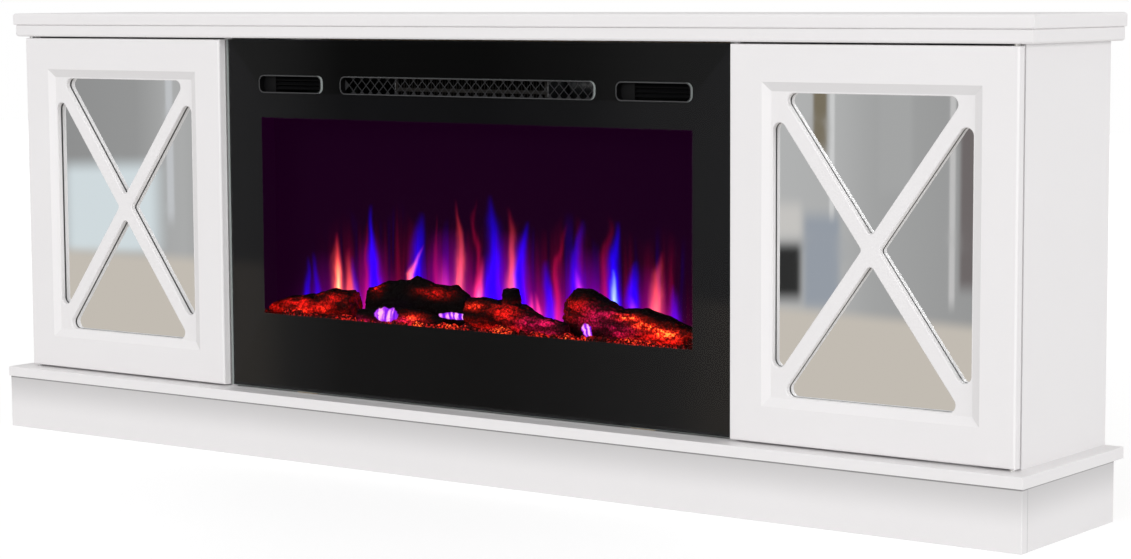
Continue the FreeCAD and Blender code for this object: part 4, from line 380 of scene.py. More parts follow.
def lacquer(name, colour, marks=None):
    """Sprayed satin paint: faint clouds of gloss and the skin of a spray gun, with marks darker than the rest: painted
    shade and shadow lines, and dark joints.
    """
    finish, place = new_finish(name)
    cloud = finish.grain(place, 5.0, 3.0)
    skin = finish.grain(place, 620.0, 1.0)
    dust = finish.grain(place, 2600.0, 0.0).step(0.70, 0.80)
    tone = finish.clouded(cloud, colour, 0.985, 1.012)
    # The marks paint shade and shadow lines, and the plinth's dark joints
    for mask, share in marks(finish, place) if marks else ():
        tone = finish.blend(mask, tone, shade(colour, share))
    return finish.coated({
        "Base Color": finish.blend(0.10 * dust, tone, shade(colour, 0.8)), "Roughness": 0.26 + 0.14 * cloud,
        "IOR": 1.46, "Normal": finish.bump(skin, 0.00025, 0.35)})


def plinth_shade_and_joints(finish, place):
    """Painted shade under the ledge, a painted shadow line where the plinth meets it, and the dark joints of the end
    boards.
    """
    painted_shade_tall, painted_shade_tone = 0.055, 0.74
    line_low, line_high, shadow_line_tone = 0.0028, 0.0016, 0.34
    joint_rim, joint_core, joint_tone = 0.0009, 0.0004, 0.40
    _, y, z = finish.split(place)
    back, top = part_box("plinth_front")[1].yz
    # Painted shade under the ledge, darkest at the top
    yield z.step(top - painted_shade_tall, top), painted_shade_tone
    # Painted shadow line just under the ledge
    yield z.step(top - line_low, top - line_high), shadow_line_tone
    yield ((y - back) ** 2.0).step(joint_rim ** 2, joint_core ** 2), joint_tone


def door_painted_shade(finish, place):
    """A painted shadow line where the lattice meets its mirror, and painted shade on the top and right slopes of the
    recess.
    """
    soft = 0.001
    line_front, line_back, shadow_line_tone = 0.0021, 0.0014, 0.12
    tilted, top_shade_tone, right_shade_tone = (-0.15, -0.30), 0.88, 0.91
    x, y, z = finish.split(place)
    across, deep, up = finish.facing()
    low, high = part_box("right_mirror")
    middle, half = 0.5 * (low.x + high.x), 0.5 * (high.x - low.x)
    within = upright_patch((x * x) ** 0.5, z, middle, half, low.z, high.z, soft)
    # Painted shadow line on the lattice's edges just in front of the mirror
    yield y.step(low.y - line_front, low.y - line_back) * within, shadow_line_tone
    # Painted shade on the slopes of the recess that face down and to the left
    slope = deep.step(-0.6, -0.8) * within
    yield up.step(*tilted) * slope, top_shade_tone
    yield across.step(*tilted) * slope, right_shade_tone


def raw_board():
    """Pressed chips with a few long dark ones."""
    finish, place = new_finish("raw_board")
    chips = finish.stretched(place, (170.0, 420.0, 420.0))
    chip = finish.cells(chips, 1.0, take="Color")
    tone = finish.ramp(chip, [(0.0, (0.30, 0.19, 0.10)), (0.35, (0.52, 0.37, 0.22)), (0.7, (0.66, 0.52, 0.34)),
                              (1.0, (0.76, 0.64, 0.46))])
    dust = finish.grain(place, 1900.0, 3.0)
    return finish.coated({
        "Base Color": finish.blend(0.35 * dust, tone, (0.60, 0.46, 0.30)), "Roughness": 0.75 + 0.2 * dust,
        "Normal": finish.bump(finish.cells(chips, 1.0), 0.0005, 0.5)})


def hardboard(white):
    """White film on the inside, brown fibre with a screen's print on the outside."""
    weave = 4200.0
    finish, place = new_finish("hardboard")
    x, _, z = finish.split(place)
    rear = finish.facing()[1].step(0.2, 0.6)
    fibre = finish.grain(place, (900.0, 900.0, 260.0), 4.0, 0.7)
    blotch = finish.grain(place, 9.0, 3.0)
    brown = finish.ramp(0.6 * fibre + 0.4 * blotch, [(0.25, (0.13, 0.065, 0.03)), (0.55, (0.24, 0.13, 0.065)),
                                                    (0.8, (0.36, 0.22, 0.12))])
    screen = (x * weave).sine() * (z * weave).sine()
    film = finish.clouded(blotch, white, 0.95, 1.0)
    return finish.coated({
        "Base Color": finish.blend(rear, film, brown), "Roughness": 0.42 + rear * 0.4 + 0.08 * fibre,
        "Normal": finish.bump(rear * (0.6 * screen + fibre), 0.0004, 0.6)})


def beech():
    """Pale wood with short dark flecks."""
    finish, place = new_finish("beech")
    grain = finish.grain(place, (700.0, 700.0, 60.0), 4.0, 0.6)
    fleck = finish.grain(place, (1500.0, 1500.0, 300.0), 1.0).step(0.6, 0.75)
    tone = finish.ramp(grain, [(0.3, (0.50, 0.31, 0.16)), (0.7, (0.68, 0.47, 0.28))])
    return finish.coated({
        "Base Color": finish.blend(0.5 * fleck, tone, (0.36, 0.20, 0.10)), "Roughness": 0.6 + 0.15 * grain,
        "Normal": finish.bump(grain, 0.0003, 0.4)})


def plated_steel():
    """Zinc plate with a faint colour play and fine draw marks."""
    finish, place = new_finish("plated_steel")
    marks = finish.grain(place, (300.0, 300.0, 4000.0), 2.0)
    play = finish.grain(place, 140.0, 2.0)
    tone = finish.ramp(play, [(0.3, (0.55, 0.56, 0.60)), (0.55, (0.66, 0.65, 0.62)), (0.8, (0.58, 0.56, 0.60))])
    return finish.coated({
        "Base Color": tone, "Metallic": 1.0, "Roughness": 0.24 + 0.2 * marks,
        "Normal": finish.bump(marks, 0.0001, 0.3)})


def galvanised():
    """Sheet with zinc spangle."""
    finish, place = new_finish("galvanised_sheet")
    flake = finish.cells(place, 110.0, take="Color")
    fine = finish.grain(place, 900.0, 2.0)
    tone = finish.ramp(flake, [(0.0, (0.20, 0.205, 0.215)), (1.0, (0.34, 0.345, 0.355))])
    return finish.coated({
        "Base Color": tone, "Metallic": 1.0, "Roughness": 0.32 + 0.18 * fine,
        "Normal": finish.bump(fine, 0.0001, 0.25)})


def aluminium(name, dark, light, gloss):
    """Rolled aluminium, bright, or darkened to paint the shade that it sits in."""
    finish, place = new_finish(name)
    rolled = finish.grain(place, (40.0, 2600.0, 2600.0), 3.0)
    return finish.coated({
        "Base Color": finish.ramp(rolled, [(0.3, dark), (0.7, light)]), "Metallic": 1.0,
        "Roughness": gloss + 0.2 * rolled, "Normal": finish.bump(rolled, 0.0001, 0.3)})


def moulded_plastic(name, colour, pebble, shine=0.5):
    """Moulded plastic with the fine pebble of a spark-eroded tool."""
    finish, place = new_finish(name)
    skin = finish.cells(place, pebble)
    cloud = finish.grain(place, 30.0, 2.0)
    return finish.coated({
        "Base Color": finish.clouded(cloud, colour, 0.85, 1.15), "Specular IOR Level": shine,
        "Roughness": 0.42 + 0.14 * cloud, "Normal": finish.bump(skin, 0.0002, 0.4)})


def foam():
    """Black foam with fine pores."""
    finish, place = new_finish("foam_tape")
    pore = finish.cells(place, 1500.0)
    return finish.coated({
        "Base Color": finish.ramp(pore, [(0.1, (0.008, 0.008, 0.009)), (0.5, (0.03, 0.03, 0.032))]),
        "Roughness": 0.85 + 0.1 * pore, "Normal": finish.bump(pore, 0.0004, 0.8)})


def powder_coat(name, colour, gloss, shine=0.5, painted_firelight=None):
    """Baked powder paint with its orange-peel skin; inside the fire box it glows with painted firelight of the flame
    screen's dim colour.
    """
    finish, place = new_finish(name)
    skin = finish.grain(place, 1100.0, 2.0)
    cloud = finish.grain(place, 20.0, 2.0)
    sockets = {
        "Base Color": finish.clouded(cloud, colour, 0.85, 1.2), "Specular IOR Level": shine,
        "Roughness": gloss + 0.12 * cloud, "Normal": finish.bump(skin, 0.0002, 0.5)}
    if painted_firelight is not None:
        # Painted firelight: the inner sides of the fire box glow with the screen's dim colour
        x, _, z = finish.split(place)
        inner = (finish.facing()[0] * x).step(-0.1, -0.3) * z.step(*FIRE_BOX_TOP)
        sockets["Emission Color"] = finish.blend(inner, (0.0, 0.0, 0.0), SCREEN_GLOW)
        sockets["Emission Strength"] = painted_firelight
    return finish.coated(sockets)


def collar_paint(colour):
    """Black powder paint with a lighter grey front lip."""
    black = (0.003, 0.003, 0.0033)
    finish, place = new_finish("collar_paint")
    lip = finish.facing()[1].step(-0.5, -0.9)
    skin = finish.grain(place, 1100.0, 2.0)
    return finish.coated({
        "Base Color": finish.blend(lip * (0.75 + 0.4 * skin), black, colour), "Roughness": 0.40 + 0.12 * skin,
        "Specular IOR Level": 0.1, "Normal": finish.bump(skin, 0.0002, 0.5)})


def silvered(tint):
    """Silvered front, grey paint on the back and green glass edges."""
    green = (0.35, 0.47, 0.43)
    finish, place = new_finish("mirror_glass")
    deep = finish.facing()[1]
    front, rear = deep.step(-0.4, -0.8), deep.step(0.4, 0.8)
    haze = finish.grain(place, 14.0, 3.0)
    grey = finish.blend(haze, (0.24, 0.25, 0.26), (0.32, 0.33, 0.34))
    return finish.coated({
        "Base Color": finish.blend(front, finish.blend(rear, green, grey), tint), "Metallic": front,
        "Roughness": 0.012 + 0.02 * haze.step(0.55, 0.8) + 0.45 * (1.0 - front)})


def clear_glass(tint, window):
    """Tinted glass: a polished front, a quieter coat over the window and pale ground edges."""
    soft, quiet = 0.002, 0.97
    finish, place = new_finish("front_glass")
    x, _, z = finish.split(place)
    deep = finish.facing()[1]
    flat = (deep * deep).step(0.2, 0.6)
    leaving = finish.node("ShaderNodeNewGeometry", take="Backfacing")
    inside = upright_patch(x, z, *window, soft)
    wiped = finish.grain(place, (6.0, 6.0, 2.5), 4.0, 0.6)
    skin = finish.node("ShaderNodeBsdfGlossy", sockets={
        "Color": (1.0, 1.0, 1.0, 1.0), "Roughness": 0.02 + 0.05 * wiped.step(0.5, 0.8)})
    clear = finish.node("ShaderNodeBsdfTransparent", sockets={"Color": paint(tint)})
    ground = finish.principled({
        "Base Color": finish.blend(wiped, (0.46, 0.52, 0.50), (0.58, 0.63, 0.61)),
        "Roughness": 0.22 + 0.12 * wiped})
    gloss = finish.node("ShaderNodeFresnel", sockets={"IOR": 1.45}) * (1.0 - leaving) * (1.0 - quiet * inside)
    return finish.surface(finish.mixed(1.0 - flat, finish.mixed(gloss, clear, skin), ground))


def black_print():
    """Fired black enamel with pinholes."""
    finish, place = new_finish("black_print")
    pinhole = finish.grain(place, 2400.0, 0.0).step(0.76, 0.82)
    cloud = finish.grain(place, 8.0, 2.0)
    enamel = finish.blend(cloud, (0.0025, 0.0025, 0.003), (0.005, 0.005, 0.006))
    return finish.coated({
        "Base Color": finish.blend(0.3 * pinhole, enamel, (0.02, 0.02, 0.02)), "Roughness": 0.35 + 0.1 * cloud,
        "Specular IOR Level": 0.0})


def circuit_board():
    """Dark solder mask over copper tracks."""
    finish, place = new_finish("circuit_board")
    lane = finish.node("ShaderNodeTexBrick", {"offset": 0.35, "squash": 0.6}, {
        "Vector": place, "Scale": 60.0, "Color1": (0.006, 0.016, 0.010, 1.0), "Color2": (0.008, 0.020, 0.012, 1.0),
        "Mortar": (0.016, 0.040, 0.024, 1.0), "Mortar Size": 0.03}, "Color")
    pads = finish.cells(place, 260.0).step(0.16, 0.12)
    return finish.coated({
        "Base Color": finish.blend(pads, lane, (0.30, 0.27, 0.20)), "Metallic": pads,
        "Roughness": 0.3 + 0.15 * finish.grain(place, 300.0), "Normal": finish.bump(pads, 0.0002, 0.5)})


def flame_picture(strength):
    """Flames thrown on a smoked sheet: tongues that narrow and fade as they rise, over thin curtains and haze."""
    base, reach, screen_top = 215.0, 170.0, 520.0
    sway, shiver = 75.0, 11.0
    slim, taper, fade, power_scale = 0.84, 0.60, 1.25, 1.15
    red_veil, blue_cover = 1.3, 0.85
    curtain_edge, curtain_full, red_curtain, blue_curtain = 0.36, 0.26, 0.24, 0.16
    finish, place = new_finish("flame_screen")
    x, _, z = finish.split(place)
    drift = finish.grain(place, (16.0, 0.0, 9.0), 1.0)
    ripple = finish.grain(place, (44.0, 0.0, 20.0), 2.0)
    streak = finish.grain(place, (210.0, 0.0, 5.0), 3.0)
    fold = finish.grain(place, (46.0, 0.0, 3.0), 2.0)
    crest = finish.grain(place, (13.0, 0.0, 0.0), 1.0)
    height = z * (1.0 / MM)
    rise = (height - base) / reach
    along = x * (1.0 / MM) + rise.clamped() * (sway * (drift - 0.5)) + shiver * (ripple - 0.5)
    sums = {}
    for colour, middle, foot, tip, half, lean, power in TONGUES + HAZES:
        climb = ((height - foot) / (tip - foot)).clamped()
        aside = (along - (climb * lean + middle)) / (slim * half * (1.0 - taper * climb))
        tongue = power_scale * power * (1.0 / math.e) ** (aside * aside) * (1.0 - climb) ** fade
        if colour in ("orange", "pink"):
            sums["red"] = sums.get("red", 0.0) + red_veil * tongue
            tongue = tongue * (1.0 - climb)
        sums[colour] = sums.get(colour, 0.0) + tongue
    wide = (x * x).step(curtain_edge ** 2, curtain_full ** 2)
    low = (0.35 + 0.9 * crest - rise).clamped() * wide
    clear = 1.0 - blue_cover * sums["blue"].clamped()
    sums["red"] = (sums["red"] + red_curtain * low * fold.step(0.42, 0.66)) * clear
    sums["violet"] = sums["violet"] * clear
    sums["blue"] = sums["blue"] + blue_curtain * low * fold.step(0.48, 0.34)
    lit = finish.clouded((height / screen_top).clamped(), SCREEN_GLOW, 1.15, 0.85)
    lively = 0.62 + 0.76 * streak
    for colour, tongue in sums.items():
        share = tongue if colour == "violet" else tongue * lively
        lit = finish.blend(share, lit, FLAME_COLOURS[colour], "ADD")
    return finish.coated({
        "Base Color": (0.004, 0.001, 0.004, 1.0), "Roughness": 0.5 + 0.2 * streak, "Specular IOR Level": 0.0,
        "Emission Color": lit, "Emission Strength": strength})


def glowing_bark(strength):
    """Charred bark that glows through its grain; the mesh says where, with which heat, and where flames are painted on
    it.
    """
    finish, place = new_finish("glowing_bark")
    red, rose, fire = (finish.mesh_value(name) for name in HEATS)
    gap = finish.mesh_value("gap")
    open_side = finish.facing()[2].step(0.92, 0.45)
    fibre = finish.grain(place, (60.0, 420.0, 420.0), 4.0, 0.65)
    broad = finish.grain(place, (28.0, 80.0, 80.0), 3.0, 0.6).step(0.40, 0.60)
    crack = finish.cells(finish.stretched(place, (46.0, 90.0, 90.0)), 1.0, "DISTANCE_TO_EDGE").step(0.0, 0.07)
    fine = finish.grain(place, 300.0, 2.0, 0.7).step(0.40, 0.66)
    bark = finish.ramp(fibre, [(0.25, (0.0008, 0.0005, 0.0005)), (0.6, (0.003, 0.0016, 0.0014)),
                               (0.85, (0.009, 0.005, 0.004))])
    grained = open_side * (0.12 + 0.88 * broad) * (0.35 + 1.25 * fine) * (0.45 + 0.55 * crack)
    hot = fire * open_side * (0.08 + 0.26 * broad + 0.80 * fine * (0.30 + 0.70 * broad)) * (0.5 + 0.5 * crack)
    ember = finish.ramp(hot.clamped(), [(0.0, (0.0, 0.0, 0.0)), (0.2, (0.16, 0.003, 0.001)),
                                        (0.5, (0.90, 0.022, 0.008)), (0.8, (1.0, 0.11, 0.016)),
                                        (1.0, (1.0, 0.34, 0.05))])
    ember = finish.blend(red * grained, ember, (0.90, 0.010, 0.006), "ADD")
    ember = finish.blend(rose * grained, ember, (0.66, 0.006, 0.085), "ADD")
    # Painted flames: flame light painted on the bark in place of openings between the logs
    licks = finish.grain(place, (150.0, 0.0, 24.0), 1.0)
    through = finish.ramp(licks, [(0.34, (0.10, 0.004, 0.60)), (0.5, (0.34, 0.02, 0.70)),
                                  (0.64, (0.85, 0.30, 0.70))])
    through = finish.blend(gap.step(0.7, 0.1) * licks.step(0.40, 0.62), through, (1.0, 0.42, 0.62))
    return finish.coated({
        "Base Color": bark, "Roughness": 0.62 + 0.25 * fibre, "Specular IOR Level": 0.06,
        "Emission Color": finish.blend(gap.step(1.10, 0.80), ember, through), "Emission Strength": strength,
        "Normal": finish.bump(fibre + 0.5 * fine, 0.0012, 0.7)})


def glowing_coal(strength):
    """Crust and hot core, by the warmth that each coal's mesh carries."""
    finish, place = new_finish("glowing_coal")
    crust = finish.grain(place, 330.0, 3.0, 0.6)
    grit = finish.cells(place, 700.0)
    ash = finish.ramp(crust, [(0.3, (0.002, 0.001, 0.001)), (0.7, (0.012, 0.005, 0.004))])
    hot = finish.mesh_value("warmth") * (0.14 + 0.95 * crust.step(0.42, 0.68) - 0.22 * grit)
    ember = finish.ramp(hot.clamped(), [(0.0, (0.0, 0.0, 0.0)), (0.15, (0.05, 0.001, 0.001)),
                                        (0.45, (0.55, 0.010, 0.008)), (0.75, (1.0, 0.055, 0.012)),
                                        (1.0, (1.0, 0.26, 0.03))])
    return finish.coated({
        "Base Color": ash, "Roughness": 0.55 + 0.3 * crust, "Specular IOR Level": 0.06, "Emission Color": ember,
        "Emission Strength": strength, "Normal": finish.bump(crust, 0.001, 0.6)})


def floor_paint(colour, glow):
    """Milky sheet lit from below, brighter away from the stand, that gives less light than the eye sees in it."""
    near, far, given_share = 1.2, 4.0, 0.55
    finish, place = new_finish("studio_floor")
    cloud = finish.grain(place, 1.2, 3.0)
    away = finish.node("ShaderNodeVectorMath", {"operation": "LENGTH"}, {0: place}, "Value").step(near, far)
    sheet = {"Base Color": finish.clouded(cloud, colour, 0.97, 1.0), "Roughness": 0.6 + 0.1 * cloud,
             "Emission Color": finish.blend(away, (0.85, 0.85, 0.85), (1.0, 1.0, 1.0))}
    given = finish.principled({**sheet, "Emission Strength": given_share * glow})
    seen = finish.principled({**sheet, "Emission Strength": glow})
    return finish.surface(finish.mixed(finish.node("ShaderNodeLightPath", take="Is Camera Ray"), given, seen))


# Pieces

def dress(names, material):
    """Give CAD nodes a finish."""
    for name in names:
        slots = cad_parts[name].data.materials
        slots.clear()
        slots.append(material)


def new_object(name, data):
    """An object in the scene."""
    made = bpy.data.objects.new(name, data)
    bpy.context.scene.collection.objects.link(made)
    return made


def mesh_from(form, name):
    """A mesh of a form, which is used up."""
    mesh = bpy.data.meshes.new(name)
    form.to_mesh(mesh)
    form.free()
    return mesh


def add_piece(name, mesh, material, slot, *stands_for):
    """A piece fixed to the cabinet, in place of the CAD nodes that it stands for."""
    piece = new_object(name, mesh)
    mesh.materials.clear()
    mesh.materials.append(material)
    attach(piece, ROOT_BODY)
    if stands_for:
        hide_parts(*stands_for)


def remeshed(node, step):
    """An even skin over a CAD node."""
    raw = new_object(f"{node}_raw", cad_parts[node].data.copy())
    skin = raw.modifiers.new("skin", "REMESH")
    skin.mode = "VOXEL"
    skin.voxel_size = step
    bpy.context.view_layer.update()
    graph = bpy.context.evaluated_depsgraph_get()
    mesh = bpy.data.meshes.new_from_object(raw.evaluated_get(graph))
    bpy.data.objects.remove(raw)
    return mesh


def oval(place, middle, rise, half, tall):
    """Squared distance from the middle of an oval, one on its rim."""
    return ((place.x / MM - middle) / half) ** 2 + ((place.z / MM - rise) / tall) ** 2


def carve_bark(mesh, node, depth):
    """Push the skin in and out as ridges, plates and knots, and note where it glows and where flames are painted on it.
    """
    ridge_scale, plate_scale, knot_scale = Vector((26, 150, 150)), Vector((42, 75, 75)), 38
    crack_width, lying_tall = 0.16, 6 * MM
    glow_fall, flame_patch_ragged, ragged_scale, no_flame_patch = 1.1, 0.45, 130, 3.0
    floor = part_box(node)[0].z
    heats = {name: mesh.attributes.new(name, "FLOAT", "POINT") for name in HEATS}
    gap = mesh.attributes.new("gap", "FLOAT", "POINT")
    mesh.update()
    moves = []
    for index, vertex in enumerate(mesh.vertices):
        place = vertex.co.copy()
        ridge = abs(noise.noise(place * ridge_scale))
        plates = noise.voronoi(place * plate_scale)[0]
        crack = max(0.0, 1.0 - (plates[1] - plates[0]) / crack_width)
        knot = noise.noise(place * knot_scale)
        push = depth * (0.9 * ridge - 0.35 - 0.8 * crack * crack + 0.8 * knot)
        lying = min(max((place.z - floor) / lying_tall, 0.0), 1.0)
        moves.append(vertex.normal * push * lying)
        for kind, middle, rise, half, tall, power in GLOWS[node]:
            warm = power * math.exp(-glow_fall * oval(place, middle, rise, half, tall))
            point = heats[kind].data[index]
            point.value = max(point.value, warm)
        gap.data[index].value = no_flame_patch
        if node in FLAME_PATCHES:
            gap.data[index].value = oval(place, *FLAME_PATCHES[node]) + flame_patch_ragged * noise.noise(place * ragged_scale)
    for vertex, move in zip(mesh.vertices, moves):
        vertex.co += move
    for face in mesh.polygons:
        face.use_smooth = True
    mesh.update()


def coal_heat(x, draw):
    """How hot a coal at this place is."""
    hottest = 1.2
    warm = 0.05 + 0.25 * draw.random()
    for middle, half, power in HOT_COALS:
        warm += power * math.exp(-((x / MM - middle) / half) ** 2) * (0.15 + 0.75 * draw.random())
    return min(warm, hottest)


def add_tray(form, warmth, draw, low, high, top):
    """The moulded tray: a rough upper face with a level rim, straight sides and a flat bottom."""
    long_count, deep_count = 260, 24
    sunk, rough_tall, rim_drop, cooler = 0.0006, 0.0011, 0.001, 0.75
    grid = []
    for j in range(deep_count + 1):
        row = []
        for i in range(long_count + 1):
            x = low.x + (high.x - low.x) * i / long_count
            y = low.y + (high.y - low.y) * j / deep_count
            rough = noise.noise(Vector((x, y, 0.0)) * 160) + 0.5 * noise.noise(Vector((x, y, 3.0)) * 330)
            inner = min(i, long_count - i, j, deep_count - j) > 0
            vertex = form.verts.new((x, y, top - sunk + (rough_tall * rough if inner else -rim_drop)))
            vertex[warmth] = cooler * coal_heat(x, draw)
            row.append(vertex)
        grid.append(row)
    for j in range(deep_count):
        for i in range(long_count):
            form.faces.new((grid[j][i], grid[j][i + 1], grid[j + 1][i + 1], grid[j + 1][i]))
    rim = [edge for edge in form.edges if edge.is_boundary]
    walls = bmesh.ops.extrude_edge_only(form, edges=rim)["geom"]
    for vertex in (part for part in walls if isinstance(part, bmesh.types.BMVert)):
        vertex.co.z = low.z
        vertex[warmth] = 0.0
    bmesh.ops.holes_fill(form, edges=[edge for edge in form.edges if edge.is_boundary])


def add_coal(form, warmth, draw, place, size, heat):
    """One broken coal, its corners pushed about."""
    fineness, dent = 2, 0.42
    made = bmesh.ops.create_icosphere(form, subdivisions=fineness, radius=size)["verts"]
    turn = Matrix.Rotation(draw.uniform(0, math.tau), 3, "Z") @ Matrix.Rotation(draw.uniform(0, math.tau), 3, "X")
    squeeze = Vector((draw.uniform(0.8, 1.25), draw.uniform(0.7, 1.0), draw.uniform(0.6, 0.95)))
    seed = Vector((draw.random(), draw.random(), draw.random())) * 40
    for vertex in made:
        bulge = 1.0 + dent * noise.noise(vertex.co / size * 1.1 + seed)
        vertex.co = (turn @ (vertex.co * bulge)) * squeeze + place
        vertex[warmth] = heat


def bed_mesh(fire):
    """The ember bed: a rough tray with loose coals along its front and between the logs, the hot ones higher."""
    inset, front_share = 0.012, 0.7
    front_band, rear_band = (0.009, 0.020), (0.014, 0.060)
    seat_share, hot_rise = 0.30, 0.0022
    draw = random.Random(fire.seed)
    low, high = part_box("ember_bed")
    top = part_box("left_log")[0].z
    form = bmesh.new()
    warmth = form.verts.layers.float.new("warmth")
    add_tray(form, warmth, draw, low, high, top)
    for k in range(fire.coal_count):
        front = k < front_share * fire.coal_count
        x = draw.uniform(low.x + inset, high.x - inset)
        y = low.y + draw.uniform(*(front_band if front else rear_band))
        size = fire.coal_size * draw.uniform(0.42, 0.85 if front else 1.0)
        heat = coal_heat(x, draw)
        place = Vector((x, y, top + seat_share * size + hot_rise * min(heat, 1.0)))
        add_coal(form, warmth, draw, place, size, heat)
    bmesh.ops.recalc_face_normals(form, faces=form.faces)
    return mesh_from(form, "ember_bed_coals")


def add_head(form, place, radius, proud, cross):
    """A round fixing head that faces the back, domed, with a cross cut where it is a screw."""
    sides, arm_step = 20, 5
    dome = ((1.0, 0.0), (1.0, 0.35), (0.82, 0.78), (0.45, 1.0))
    arm, web, cut_floor, crown = 0.45, 0.16, 0.3, 1.06

    def ring(shares, rise):
        loop = []
        for k, share in enumerate(shares):
            angle = math.tau * k / sides
            loop.append(form.verts.new((place.x + radius * share * math.cos(angle), place.y + proud * rise,
                                        place.z + radius * share * math.sin(angle))))
        return loop

    loops = [ring([share] * sides, rise) for share, rise in dome]
    middle = [web if cross and k % arm_step else arm for k in range(sides)]
    loops.append(ring(middle, cut_floor if cross else crown))
    for outer, inner in zip(loops, loops[1:]):
        for k in range(sides):
            after = (k + 1) % sides
            form.faces.new((outer[k], outer[after], inner[after], inner[k]))
    form.faces.new(loops[-1])
    form.faces.new(list(reversed(loops[0])))


def heads_mesh(name, places, radius, proud, cross):
    """All the heads of one kind, smooth round their domes."""
    form = bmesh.new()
    for place in places:
        add_head(form, place, radius, proud, cross)
    bmesh.ops.recalc_face_normals(form, faces=form.faces)
    mesh = mesh_from(form, name)
    for face in mesh.polygons:
        face.use_smooth = len(face.vertices) == 4
    return mesh


def places_round(low, high, inset, pitch, y):
    """Places along the edges of an upright rectangle."""
    places = []
    width = high.x - low.x - 2 * inset
    tall = high.z - low.z - 2 * inset
    steps_x = max(2, round(width / pitch))
    steps_z = max(2, round(tall / pitch))
    for k in range(steps_x + 1):
        for z in (low.z + inset, high.z - inset):
            places.append(Vector((low.x + inset + width * k / steps_x, y, z)))
    for k in range(1, steps_z):
        for x in (low.x + inset, high.x - inset):
            places.append(Vector((x, y, low.z + inset + tall * k / steps_z)))
    return places


# Stage

def set_camera(scene, look):
    """The camera, turned by its yaw, then its pitch, then its roll."""
    camera = new_object("camera", bpy.data.cameras.new("camera"))
    pitch, roll, yaw = look.turn
    turn = Matrix.Rotation(yaw, 3, "Z") @ Matrix.Rotation(pitch, 3, "X") @ Matrix.Rotation(roll, 3, "Y")
    right, ahead, up = turn.col
    camera.matrix_world = Matrix.Translation(look.eye) @ Matrix((right, up, -ahead)).transposed().to_4x4()
    camera.data.lens = look.lens
    camera.data.sensor_width = SENSOR_WIDTH
    scene.camera = camera


def set_floor(look):
    """A wide floor that mirrors and glass don't show."""
    half_width, squares = 9.0, 8
    form = bmesh.new()
    bmesh.ops.create_grid(form, x_segments=squares, y_segments=squares, size=half_width)
    floor = new_object("studio_floor", mesh_from(form, "studio_floor"))
    floor.data.materials.append(floor_paint(look.floor, look.floor_glow))
    floor.visible_glossy = False


def set_air(scene, look):
    """White all round for the eye and for soft light, and a plain grey room for what shines."""
    box_edge, box_soft, floor_soft = 0.25, 0.004, 0.003
    world = bpy.data.worlds.new("studio_air")
    scene.world = world
    air = Finish(world)
    x, y, z = air.split(air.node("ShaderNodeTexCoord", take="Generated"))
    turn = air.node("ShaderNodeMath", {"operation": "ARCTAN2"}, {0: x * -1.0, 1: y * -1.0})
    bearing = turn * (180.0 / math.pi)
    room = air.ramp((bearing / ROOM_SPAN).clamped(), [(a / ROOM_SPAN, (g, g, g)) for a, g in ROOM_WALL])
    for middle, half, low, high, tone in ROOM_BOXES:
        edge = box_edge * half
        inside = bearing.step(middle - half - edge, middle - half + edge)
        inside = inside * bearing.step(middle + half + edge, middle + half - edge)
        inside = inside * z.step(low - box_soft, low + box_soft) * z.step(high + box_soft, high - box_soft)
        room = air.blend(inside, room, tone)
    starts, full, still_full, ends = ROOM_DARK
    dark = bearing.step(starts, full) * bearing.step(ends, still_full)
    from_bearing, slope, change = SKIRTING
    skirting = change * (bearing - from_bearing) + slope
    floor = (z - skirting).step(floor_soft, -floor_soft) * (1.0 - 0.85 * dark)
    room = air.blend(floor, room, ROOM_FLOOR)
    room = air.blend(z.step(0.10, 0.45), room, (0.95, 0.95, 0.95))
    sky = air.blend(z.step(0.0, 0.9), (0.90, 0.89, 0.89), (1.06, 1.05, 1.05))
    rays = air.node("ShaderNodeLightPath", take="Is Glossy Ray")
    soft, bright, shiny = (
        air.node("ShaderNodeBackground", sockets={"Color": paint(colour), "Strength": strength})
        for colour, strength in ((sky, look.air), ((1.0, 1.0, 1.0), 1.0), (room, 1.0)))
    air.surface(air.mixed(rays, air.mixed(rays.output("Is Camera Ray"), soft, bright), shiny))


def add_lamp(name, place, target, power):
    """A soft lamp that shines on a point."""
    lamp = new_object(name, bpy.data.lights.new(name, "AREA"))
    lamp.data.shape = "RECTANGLE"
    lamp.data.size, lamp.data.size_y = LAMP_SIZE
    lamp.data.energy = power
    lamp.location = place
    lamp.rotation_mode = "QUATERNION"
    lamp.rotation_quaternion = (Vector(target) - Vector(place)).to_track_quat("-Z", "Y")


# Operators

class STAND_OT_dress_boards(bpy.types.Operator):
    """Paint the boards, and give the hidden ones their raw faces"""
    bl_idname = "stand.dress_boards"
    bl_label = "Dress the boards"

    def execute(self, context):
        look = context.scene.stand_finishes
        dress(LACQUERED, lacquer("white_lacquer", look.lacquer))
        dress(DOORS, lacquer("door_lacquer", look.lacquer, door_painted_shade))
        dress(PLINTH, lacquer("plinth_lacquer", look.lacquer, plinth_shade_and_joints))
        dress(RAW_BOARDS, raw_board())
        dress(("back_panels",), hardboard(shade(look.lacquer, 0.95)))
        dress(("carcass_dowels",), beech())
        return {"FINISHED"}


class STAND_OT_dress_fittings(bpy.types.Operator):
    """Finish the pins, catches, bushes, clips and tapes"""
    bl_idname = "stand.dress_fittings"
    bl_label = "Dress the fittings"

    def execute(self, context):
        dress(PLATED, plated_steel())
        dress(("magnetic_catches",), moulded_plastic("grey_plastic", (0.30, 0.30, 0.31), pebble=900.0))
        dress(BUSHES, moulded_plastic("nylon", (0.78, 0.77, 0.72), pebble=1400.0))
        dress(TAPES, foam())
        return {"FINISHED"}


